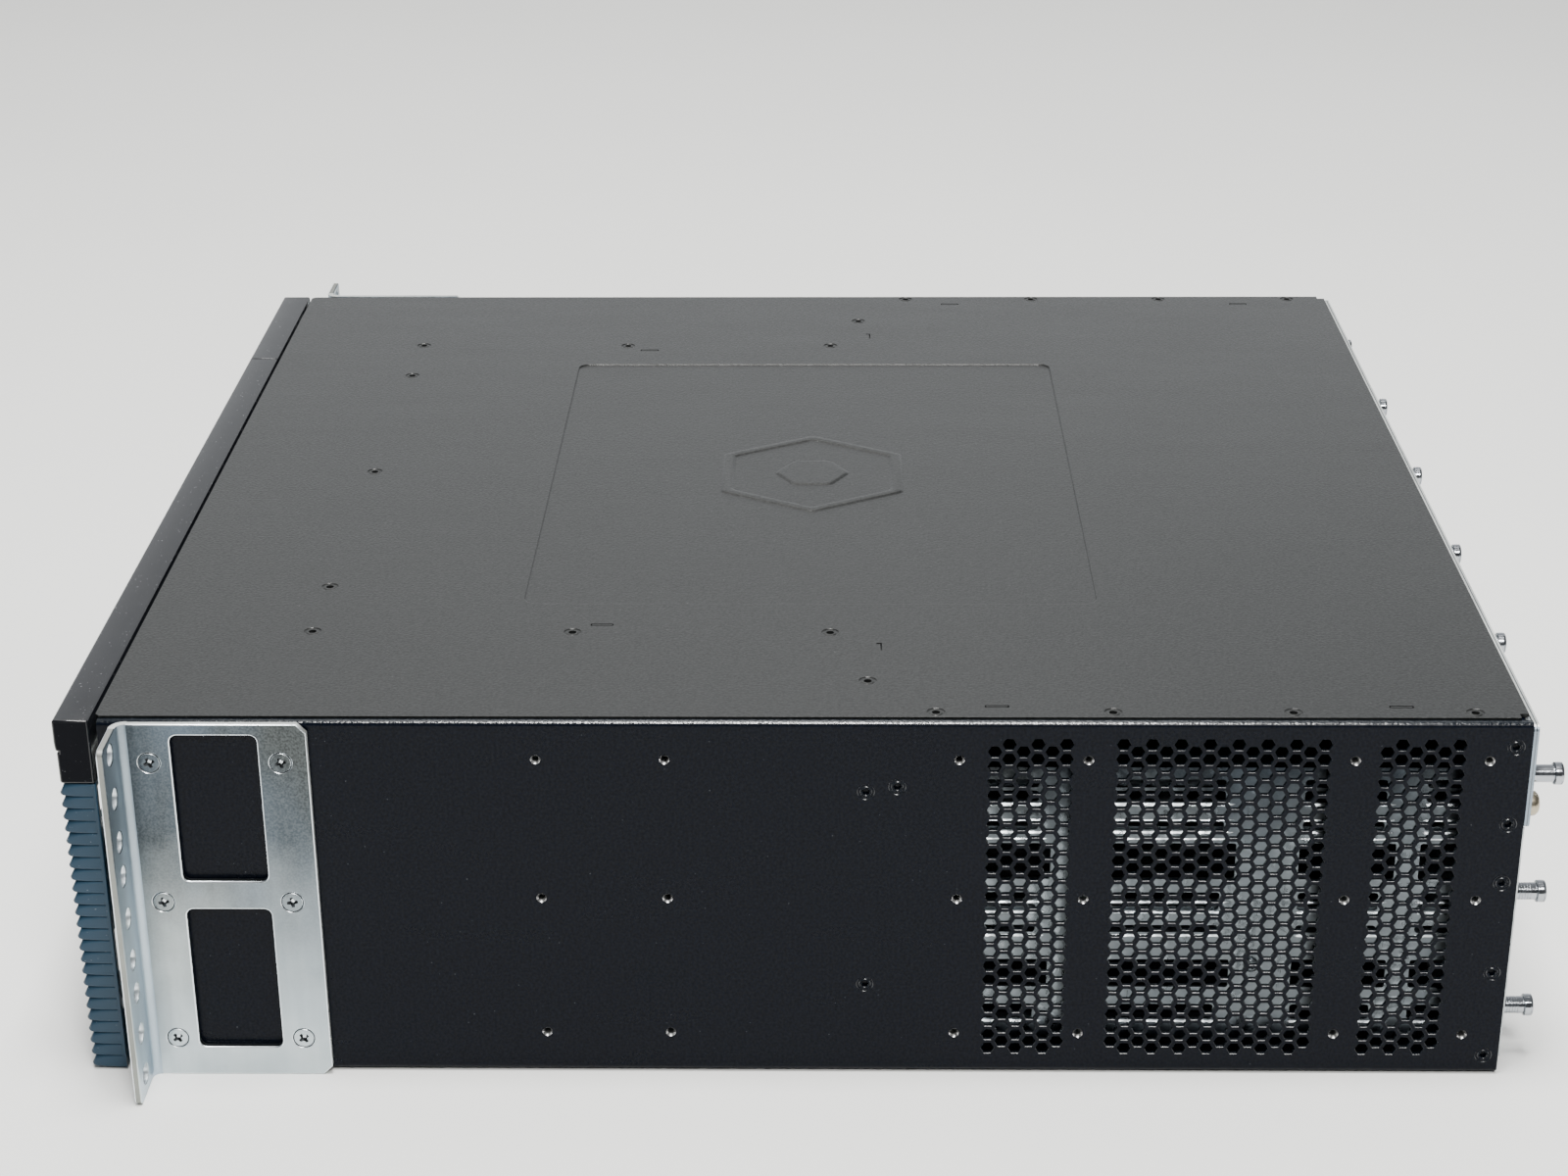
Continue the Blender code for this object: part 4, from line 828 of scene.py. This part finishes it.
def rack_ear():
    """Right-hand ear: side plate, bend and front flange."""
    low, high = EAR_Z
    turn_in, turn_out = EAR_TURN, EAR_TURN + EAR_SHEET
    shape = Shape(Place((EAR_FACE_X, 0, 0), (0, 1, 0), (0, 0, 1)))
    edge = tabbed(back(EAR_FRONT) + turn_out + EAR_FLAT, back(EAR_REAR), EAR_CORNER, 1)
    rim(shape, edge, EAR_SHEET, EAR_EDGE)
    face = inset(edge, EAR_EDGE, closed=False)
    holes = []
    y = [back(s) for s in EAR_WINDOW_Y]
    for z in EAR_WINDOWS:

        def window(e, z=z):
            width, height = y[1] - y[0] + 2 * e, z[1] - z[0] + 2 * e
            return rounded(sum(y) / 2, sum(z) / 2, width, height, EAR_WINDOW_CORNER + e)

        # Painted shade on the walls of the windows, painted highlight on their front lips.
        holes.append(eased_hole(shape, window, EAR_SHEET, 0.45))
    backs = list(holes)
    rows = ((3.95, 0.0), (3.8, -0.12), (EAR_SCREW_HOLE, -1.9), (EAR_SCREW_HOLE, -EAR_SHEET))
    for centre in EAR_SCREWS:
        loops = [(circle(*centre, radius, 28), h) for radius, h in rows]
        # Painted highlight on the countersink ring, painted shade down the hole.
        shape.levels(loops[:2], slot=1)
        shape.levels(loops[1:3], slot=3)
        shape.levels(loops[2:], slot=3)
        holes.append(loops[0][0])
        backs.append(loops[-1][0])
    shape.web(face, holes)
    shape.web(face, backs, height=-EAR_SHEET, flip=True)
    centre = (EAR_FACE_X + turn_in, back(EAR_FRONT) + turn_out)
    bends = []
    for radius in (turn_out, turn_in):
        ends = (centre[0] - radius, centre[1] + EAR_FLAT), (centre[0] + EAR_FLAT, centre[1] - radius)
        bends.append([ends[0], *arc(*centre, radius, 180, 270, 8), ends[1]])
    for bend, order in ((bends[0], 1), (bends[1], -1)):
        rows = [[(x, y, z) for x, y in bend] for z in (low, high)][::order]
        shape.rings(rows, closed=False, slot=4)
    for z, order in ((low, -1), (high, 1)):
        rows = [[(x, y, z) for x, y in bend] for bend in bends[::order]]
        shape.rings(rows, closed=False, smooth=False, slot=2)
    shape.place = Place((0, back(EAR_FRONT), 0), (1, 0, 0), (0, 0, 1))
    edge = tabbed(centre[0] + EAR_FLAT, RACK_HALF, FLANGE_CORNER, 8)
    rim(shape, edge, EAR_SHEET, EAR_EDGE, slot=5)
    face = inset(edge, EAR_EDGE, closed=False)
    holes = []
    for z in RACK_HOLES:

        def hole(e, z=z):
            return circle(RACK_HOLE_X, z, RACK_HOLE + e, 32)

        # Painted highlight: the walls of the rack holes are in slot 1.
        holes.append(eased_hole(shape, hole, EAR_SHEET, 0.3, slot=1))
    shape.web(face, holes, slot=4)
    shape.web(face, holes, height=-EAR_SHEET, flip=True, slot=4)
    return shape


ear = rack_ear()
# Slot 1 is the painted highlight metal, and slot 3 the painted shade zinc.
ear_finish = (ZINC, EDGE_HIGHLIGHT_METAL, SHEARED, ZINC_PAINTED_SHADE, BLUE_ZINC, DULL_EDGE)
for shape, name in ((ear, "right"), (mirrored(ear), "left")):
    shape.piece("rack_ear_plate_" + name, ear_finish, "chassis", "zinc_plate", ("rack_ear_" + name,))
random.seed(4)
head = flat_screw()
for name, side in SIDES.items():
    screws = Shape()
    for y, z in EAR_SCREWS:
        spin = Matrix.Rotation(random.uniform(0, math.pi / 2), 4, "Z")
        screws.join(head, facing((side * EAR_FACE_X, y, z), side) @ spin)
    nodes = [f"ear_screw_{name}_{i}" for i in range(1, 7)]
    screws.piece(f"ear_screw_heads_{name}", (ZINC, EDGE_HIGHLIGHT_METAL, ZINC_PAINTED_SHADE), "chassis", "zinc_plate", nodes)


# Captive thumbscrews


SCREW_TIP = REAR_Y + 13.0
TRAY_SCREWS = {"tray_screw_right": (211.0, 111.0), "tray_screw_left": (-211.0, 111.0)}
CARD_SCREWS = {f"card_screw_{i}": (x, 115.5) for i, x in enumerate((-120.0, -40.0, 40.0, 120.0), 1)}
MODULE_SCREW_PLACES = ((206.0, 19.5), (-206.0, 19.5), (206.0, 64.0), (-206.0, 64.0))
MODULE_SCREWS = {f"module_screw_{i}": place for i, place in enumerate(MODULE_SCREW_PLACES, 1)}


def thumbscrew(seat, shank, ridges=0):
    """Turned knob and slotted head, facing +Z, with the tip of the head at height 0. seat is the Y of the
    plate that the knob stands on, and ridges counts the rings cut into the knob."""
    shape = Shape()
    base = seat - SCREW_TIP
    knob, stem, neck, foot, face = 2.95, 1.4, 2.6, 3.15, 3.0
    collar = -3.3
    grooves = []
    for i in range(ridges):
        d = base + 1.4 + 0.9 * i
        grooves += [(d, knob), (d, knob), (d + 0.22, 2.72), (d + 0.44, knob), (d + 0.44, knob)]
    runs = (
        [(base - shank, 0.01), (base - shank, stem), (base - shank, stem), (base, stem)],
        [(base, stem), (base, foot), (base, foot), (base + 0.5, foot), (base + 0.7, knob)],
        [(base + 0.7, knob), *grooves, (collar, knob)],
        [(collar, knob), (collar, neck), (collar, neck), (-3.0, neck)],
        [(-3.0, neck), (-3.0, 3.55), (-2.8, 3.75)],
        [(-2.8, 3.75), (-1.0, 3.8), (-1.0, 3.8), (-0.85, 3.65), (-0.7, 3.65)],
        [(-0.7, 3.65), (-0.55, 3.75)],
        [(-0.55, 3.75), (-0.3, 3.7), (-0.1, 3.45), (0.0, face)],
    )
    for run in runs:
        shape.turned(run, (0, 0, 0), (0, 0, 1), 32)
    top = circle(0, 0, face, 32)
    slot = rounded(0, 0, 5.8, 0.95, 0.2, 2)
    shape.web(top, [slot])
    shape.wall(slot, 0.0, -1.0)
    shape.fill(slot, -1.0)
    return shape


rearwards = Matrix.Rotation(-math.pi / 2, 4, "X")
for places, source in (
    (TRAY_SCREWS, thumbscrew(REAR_Y + 2.4, 2.1)),
    (CARD_SCREWS, thumbscrew(REAR_Y + 3.9, 1.5)),
    (MODULE_SCREWS, thumbscrew(REAR_Y + 2.4, 2.1, 5)),
):
    for name, (x, z) in places.items():
        made = Shape()
        spin = Matrix.Rotation(random.uniform(0, math.pi), 4, "Z")
        made.join(source, Matrix.Translation((x, SCREW_TIP, z)) @ rearwards @ spin)
        made.piece(name + "_knob", NICKEL, name, "nickel", (name,))


# Card-cage walls, seen through the vents


CAGE_X = 209.0
CAGE_Y = (205.0, 9.0)
CAGE_SHEET = 1.2
CAGE_SPANS = ((198.0, 153.0), (136.5, 91.5), (70.5, 38.5), (30.5, 14.0))
CAGE_WINDOWS = ((28.0, 38.8), (69.9, 83.5))
CAGE_SLOTS = (
    (15.4, 21.2), (49.4, 52.2), (57.9, 60.4), (61.8, 64.8), (88.6, 91.8), (99.0, 103.2), (104.4, 107.4),
)
CAGE_LIPS = (
    (14.5, 0.8), (48.2, 0.7), (57.2, 0.6), (61.1, 0.55), (85.2, 0.5), (87.7, 0.8), (92.3, 0.55), (98.2, 0.9),
)
CAGE_RUNNERS = (12.6, 48.0, 57.4, 88.0)
CAGE_RUNNER_WIDTH = 5.0
CAGE_Z = (1.8, 111.8)
CAGE_SCREW = (84.0, 37.0)


def cage_wall():
    """Right-hand wall with windows, slots with rolled lips in the painted highlight metal, and runners that
    carry the modules.
    """
    shape = Shape(Place((CAGE_X, 0, 0), (0, 1, 0), (0, 0, 1)))
    y = [back(s) for s in CAGE_Y]
    outline = rectangle(*y, *CAGE_Z)
    holes = []
    spans = [[back(s) for s in span] for span in CAGE_SPANS]
    for a, b in spans:
        for low, high in CAGE_WINDOWS:
            holes.append(rounded((a + b) / 2, (low + high) / 2, b - a, high - low, 0.8, 3))
        for low, high in CAGE_SLOTS:
            holes.append(rounded((a + b) / 2 - 2.0, (low + high) / 2, b - a - 5.0, high - low, 1.2, 3))
    for loop in holes:
        shape.wall(loop, 0.0, -CAGE_SHEET)
    shape.web(outline, holes)
    shape.web(outline, holes, height=-CAGE_SHEET, flip=True)
    # Lips in slot 1, the painted highlight metal.
    for a, b in spans:
        for z, size in CAGE_LIPS:
            lip = [(0.0, 0.38 * size), (0.6 * size, -0.38 * size), (0.0, -0.5 * size)]
            rows = [[(CAGE_X + out, along, z + up) for out, up in lip] for along in (a + 0.8, b - 3.2)]
            tips = [[(CAGE_X, along, z)] * 3 for along in (a, b - 1.2)]
            shape.rings([tips[0], *rows, tips[1]], closed=False, smooth=False, slot=1)
    inside = CAGE_X - CAGE_SHEET
    for z in CAGE_RUNNERS:
        shape.box((inside - CAGE_RUNNER_WIDTH, y[0] + 2, z), (inside, y[1] - 2, z + CAGE_SHEET))
    setback, z = CAGE_SCREW
    shape.join(pan_screw(), facing((CAGE_X + 0.1, back(setback), z), 1) @ Matrix.Rotation(0.4, 4, "Z"))
    return shape


cage = cage_wall()
cage_finish = (CAGE_METAL, EDGE_HIGHLIGHT_METAL)
for shape, name in ((cage, "right"), (mirrored(cage), "left")):
    shape.piece("cage_wall_" + name, cage_finish, "chassis", "galvanised", ("card_cage_" + name,))


# Edge and bumper screws of the processor tray's plate


PLATE_SPAN = (0.3, 2.1)
PLATE_HALF = 218.475
PLATE_HEIGHTS = (94.6, 132.0)
# (distance back from the front of the plate, inset) across the edge, with the groove at its middle
EDGE_STEPS = (
    (0.0, 0.0), (0.05, -0.05), (0.7, -0.05), (0.75, 0.12),
    (1.05, 0.12), (1.1, -0.05), (1.75, -0.05), (1.8, 0.0),
)
EDGE_GROOVE = (2, 3, 4)
BUMPER = (213.4, 101.3)


def plate_edge():
    """Outline of the plate with a groove along the middle of its thickness in painted shade, and a painted
    highlight of pale sheared zinc along the top.
    """
    shape = Shape()
    low, high = PLATE_HEIGHTS
    outline = rounded(0, (low + high) / 2, 2 * PLATE_HALF, high - low, 2.0, 4)
    front = REAR_Y + PLATE_SPAN[0]
    loops = [[(x, front + depth, z) for x, z in inset(outline, e)] for depth, e in EDGE_STEPS]
    shape.rings(loops, smooth=False)
    # Painted highlight on the top faces in slot 0, painted shade in the groove in slot 2.
    for i, face in enumerate(shape.faces):
        if min(shape.points[j].z for j in face) < high - 1.0:
            shape.slots[i] = 2 if i // len(outline) in EDGE_GROOVE else 1
    return shape


edge_finish = (SHEARED, PLATE_SIDE, ZINC_PAINTED_SHADE)
plate_edge().piece("tray_plate_edge", edge_finish, "processor_tray", "silver_plate")
bumpers = Shape()
for side in SIDES.values():
    place = (side * BUMPER[0], REAR_Y + PLATE_SPAN[1], BUMPER[1])
    bumpers.join(pan_screw(4.2, 3.4), Matrix.Translation(place) @ rearwards)
bumpers.piece("tray_plate_screws", YELLOW_ZINC, "processor_tray", "zinc_plate")


# Bezel


RIBS = 24
RIB_LOW, RIB_HIGH = 1.0, 110.0
RIB_PITCH = (RIB_HIGH - RIB_LOW) / RIBS
WINDOW_X = (134.0, 198.0)
WINDOW_Z = ((12.4, 40.4), (77.0, 105.0))
RIB_SIDE_END = 468.2
GRILLE_FACE = back(BEZEL_FRONT) + 2.8  # Y of the sheet that the ribs stand on
GRILLE_REAR = back(BEZEL_BACK)
GRILLE_HALF = HALF_WIDTH - 1.2
BEZEL_TURN = 1.6
WINDOW_RIM = 1.5
AIR_SLOTS = (-144.0, -8.0)
AIR_SLOT_LENGTH = 128.0


def rib_section(point):
    """Outline of one rib as (outward, height) pairs. point runs from 0, a flat rib with narrow grooves, to 1,
    a rounded point that leans down."""
    h = RIB_PITCH / 2
    flat = [
        (-0.35, -h), (-0.32, -h + 0.08), (-0.06, -h + 0.14), (0.0, -h + 0.25), (0.0, -h + 0.9), (0.0, 0.0),
        (0.0, h - 0.9), (0.0, h - 0.25), (-0.06, h - 0.14), (-0.32, h - 0.08), (-0.35, h),
    ]
    sharp = [
        (-2.9, -h + 0.02), (-2.3, -h + 0.3), (-0.5, -h + 0.75), (-0.12, -h + 1.0), (0.0, -h + 1.2),
        (-0.08, -h + 1.45), (-0.5, -0.3), (-1.1, 0.45), (-1.9, h - 0.8), (-2.6, h - 0.25), (-2.9, h - 0.02),
    ]
    return [(a[0] + (b[0] - a[0]) * point, a[1] + (b[1] - a[1]) * point) for a, b in zip(flat, sharp)]


def rib_run(shape, path, z):
    """Sweep a rib along a plan path of (x, y, normal x, normal y, pointedness)."""
    rows = []
    for x, y, nx, ny, point in path:
        rows.append([(x + nx * out, y + ny * out, z + up) for out, up in rib_section(point)])
    shape.rings(rows[::-1], closed=False)
    for row, order in ((rows[0], -1), (rows[-1], 1)):
        shape.add([Vector(p) for p in row[::order]], [list(range(len(row)))])


def bezel_ribs(shape):
    """Ribs from side to side, growing pointed round the corners, and cut at the windows."""
    front = back(BEZEL_FRONT)
    corner_x, corner_y = HALF_WIDTH - BEZEL_TURN, front + BEZEL_TURN
    side = ((back(RIB_SIDE_END), 0.0), (corner_y + 6.5, 0.0), (corner_y + 3.0, 0.12), (corner_y + 1.0, 0.3))
    right = [(HALF_WIDTH, y, 1, 0, point) for y, point in side]
    for i in range(9):
        a = math.radians(90 * i / 8)
        nx, ny = math.cos(a), -math.sin(a)
        right.append((corner_x + BEZEL_TURN * nx, corner_y + BEZEL_TURN * ny, nx, ny, 0.4 + 0.6 * i / 8))
    left = [(-x, y, -nx, ny, point) for x, y, nx, ny, point in right][::-1]
    ends = [(x, front, 0, -1, 1.0) for x in (WINDOW_X[0] - 1.6, WINDOW_X[1] + 1.6)]
    for i in range(RIBS):
        z = RIB_LOW + RIB_PITCH * (i + 0.5)
        if any(low - WINDOW_RIM < z < high + WINDOW_RIM for low, high in WINDOW_Z):
            rib_run(shape, right + ends[1:], z)
            rib_run(shape, ends[:1] + left, z)
        else:
            rib_run(shape, right + left, z)


def bezel_face(shape):
    """Sheet behind the ribs, with framed windows and, between the ribs, air slots."""
    shape.place = Place((0, GRILLE_FACE, 0), (1, 0, 0), (0, 0, 1))
    holes = []
    width = WINDOW_X[1] - WINDOW_X[0] + 2 * WINDOW_RIM
    for low, high in WINDOW_Z:
        hole = rounded(sum(WINDOW_X) / 2, (low + high) / 2, width, high - low + 2 * WINDOW_RIM, 2.5)
        lip = [(inset(hole, e), h) for e, h in ((0.3, 2.65), (1.2, 2.65), (WINDOW_RIM, 2.3))]
        shape.wall(hole, 0.0, 2.2)
        shape.levels([(hole, 2.2), *lip])
        shape.wall(lip[-1][0], 2.3, -3.0)
        holes.append(hole)
    for i in range(1, RIBS):
        for x in AIR_SLOTS:
            slot = rounded(x, RIB_LOW + RIB_PITCH * i, AIR_SLOT_LENGTH, 0.9, 0.4, 2)
            shape.wall(slot, 0.0, -2.0)
            holes.append(slot)
    shape.web(rounded(0, (RIB_LOW + RIB_HIGH) / 2, 2 * GRILLE_HALF, RIB_HIGH - RIB_LOW, 0.8, 2), holes)


def bezel_shell(shape):
    """Sides, bands behind the ribs' ends, lining, top, bottom and rear rim of the grille."""
    for sign in (1, -1):
        shape.place = Place((sign * GRILLE_HALF, 0, 0), (0, sign, 0), (0, 0, 1))
        shape.web(rectangle(*sorted((sign * GRILLE_FACE, sign * GRILLE_REAR)), RIB_LOW, RIB_HIGH))
        shape.place = Place((sign * HALF_WIDTH, 0, 0), (0, sign, 0), (0, 0, 1))
        band = rectangle(*sorted((sign * back(RIB_SIDE_END), sign * GRILLE_REAR)), RIB_LOW, RIB_HIGH)
        eased = inset(band, 0.05)
        shape.levels([(band, -1.2), (band, -0.05), (eased, 0.0)])
        shape.web(eased)
    lining = Shape()
    x, low, high = GRILLE_HALF - 0.8, RIB_LOW + 2, RIB_HIGH - 2
    lining.box((-x, GRILLE_FACE + 2, low), (x, GRILLE_REAR, high))
    shape.add(lining.points, [lining.faces[i][::-1] for i in (0, 1, 4, 5)])
    for z, order in ((RIB_LOW, -1), (RIB_HIGH, 1)):
        loop = [Vector((x, y, z)) for x, y in rectangle(-GRILLE_HALF, GRILLE_HALF, GRILLE_FACE, GRILLE_REAR)]
        shape.add(loop, [[0, 1, 2, 3][::order]])
    shape.place = Place((0, GRILLE_REAR, 0), (-1, 0, 0), (0, 0, 1))
    mouth = rectangle(2 - GRILLE_HALF, GRILLE_HALF - 2, low, high)
    shape.web(rectangle(-GRILLE_HALF, GRILLE_HALF, RIB_LOW, RIB_HIGH), [mouth])


def bezel_grille():
    shape = Shape()
    bezel_ribs(shape)
    bezel_face(shape)
    bezel_shell(shape)
    return shape


def cap_section():
    """Outline of the cap as (y, z) pairs, anticlockwise seen from the right."""
    front = back(BEZEL_FRONT)
    low, groove = 110.3, 122.0
    points = [(back(BEZEL_BACK), low), (front + 1.6, low)]
    points += arc(front + 1.6, low + 0.9, 0.9, 270, 180, 4)[1:]
    points += [
        (front + 0.6, groove - 0.9), (front + 0.75, groove - 0.5), (front + 1.3, groove - 0.35),
        (front + 1.3, groove), (front + 0.5, groove + 0.15), (front + 0.25, groove + 0.6),
        (front, groove + 3.0), (front, HEIGHT - 1.0),
    ]
    points += arc(front + 1.0, HEIGHT - 1.0, 1.0, 180, 90, 5)[1:]
    points += [(back(BEZEL_BACK) - 0.6, HEIGHT), (back(BEZEL_BACK), HEIGHT - 0.6)]
    return points[::-1]


def cap(x0, x1, ease0, ease1):
    """Gloss cap between two X positions, with softly rounded ends."""
    shape = Shape()
    section = cap_section()
    turns = [math.pi / 8 * i for i in range(5)]
    left = [(x0 + ease0 * (1 - math.cos(a)), ease0 * (1 - math.sin(a))) for a in turns]
    right = [(x1 - ease1 * (1 - math.cos(a)), ease1 * (1 - math.sin(a))) for a in turns]
    loops = [[(x, y, z) for y, z in inset(section, e)] for x, e in left + right[::-1]]
    shape.rings(loops[:5])
    shape.rings(loops[4:6])
    shape.rings(loops[5:])
    # End faces in slot 1, the painted shade plastic.
    for loop, order in ((loops[-1], 1), (loops[0], -1)):
        shape.add([Vector(p) for p in loop], [list(range(len(loop)))[::order]], slot=1)
    return shape


bezel_grille().piece("grille_moulding", SLATE, "bezel", "slate_blue", ("bezel_grille",))
caps = ((cap(-133.0, HALF_WIDTH, 0.25, 0.7), "cap"), (cap(-HALF_WIDTH, -133.6, 0.7, 0.25), "cap_end"))
for shape, name in caps:
    shape.piece(name + "_moulding", (GLOSS, GLOSS_SHADED_END), "bezel", "black_gloss", ("bezel_" + name,))


# Stage, light and camera


LAMP_COLOUR = (1.0, 0.99, 0.97)
SKY_COLOUR = (0.95, 0.975, 1.0, 1.0)
SKY_FADES = ((-0.92, -0.6, 1.15, 0.35), (-0.5, 0.8, 1.0, 0.3))
CAMERA_PLACE = (1.0552, 0.0066, 0.5517)
CAMERA_TURN = (-0.0175, 0.4176, -0.0063)
LENS = 66.44


def plain(name, colour):
    """Matt cloth with faint clouding and a fine weave."""
    f = Finish(name, 0.9)
    f.colour(f.mix(f.spread(f.noise(3.0, 3.0), 0.3, 0.7), tint(colour, 0.985), tint(colour, 1.015)))
    f.normal(f.bump(f.noise(700.0, 3.0), 0.0001, 0.4))
    return f.material


def stage():
    bpy.ops.mesh.primitive_plane_add(size=14.0, location=(0, 0, 0))
    floor = bpy.context.object
    floor.name = "floor"
    floor.data.materials.append(plain("pale_cloth", (0.78, 0.785, 0.77)))


def area_light(name, location, target, size, power):
    data = bpy.data.lights.new(name, "AREA")
    data.shape = "SQUARE"
    data.size = size
    data.energy = power
    data.color = LAMP_COLOUR
    light = bpy.data.objects.new(name, data)
    light.location = location
    aim = Vector(target) - Vector(location)
    light.rotation_euler = aim.to_track_quat("-Z", "Y").to_euler()
    bpy.context.scene.collection.objects.link(light)


def lights():
    """Pale surroundings whose brightness fades along X at both ends, and three lamps overhead."""
    world = bpy.data.worlds.new("studio")
    world.use_nodes = True
    tree = world.node_tree
    sky = tree.nodes["Background"]
    sky.inputs["Color"].default_value = SKY_COLOUR
    way = tree.nodes.new("ShaderNodeTexCoord")
    split = tree.nodes.new("ShaderNodeSeparateXYZ")
    product = tree.nodes.new("ShaderNodeMath")
    product.operation = "MULTIPLY"
    tree.links.new(way.outputs["Generated"], split.inputs[0])
    for place, values in enumerate(SKY_FADES):
        fade = tree.nodes.new("ShaderNodeMapRange")
        fade.clamp = True
        for i, value in enumerate(values, 1):
            fade.inputs[i].default_value = value
        tree.links.new(split.outputs["X"], fade.inputs[0])
        tree.links.new(fade.outputs[0], product.inputs[place])
    tree.links.new(product.outputs[0], sky.inputs["Strength"])
    bpy.context.scene.world = world
    area_light("key", (0.35, 0.0, 2.3), (0.15, 0, 0.0), 0.7, 105.0)
    area_light("front", (1.7, 0.35, 2.0), (0.2, 0, 0.06), 0.6, 52.0)
    area_light("back", (-1.3, -0.3, 2.2), (-0.3, 0, 0.0), 1.8, 25.0)


def camera():
    """Camera of the photo, turned by yaw, pitch and roll from a view along -X."""
    data = bpy.data.cameras.new("camera")
    data.sensor_width = 36.0
    data.lens = LENS
    data.clip_start = 0.01
    cam = bpy.data.objects.new("camera", data)
    yaw, pitch, roll = CAMERA_TURN
    forward = Vector((-math.cos(yaw) * math.cos(pitch), math.sin(yaw) * math.cos(pitch), -math.sin(pitch)))
    right = forward.cross(Vector((0, 0, 1))).normalized()
    up = right.cross(forward)
    c, s = math.cos(roll), math.sin(roll)
    right, up = c * right + s * up, -s * right + c * up
    turn = Matrix((right, up, -forward)).transposed().to_4x4()
    cam.matrix_world = Matrix.Translation(Vector(CAMERA_PLACE)) @ turn
    bpy.context.scene.collection.objects.link(cam)
    bpy.context.scene.camera = cam


stage()
lights()
camera()
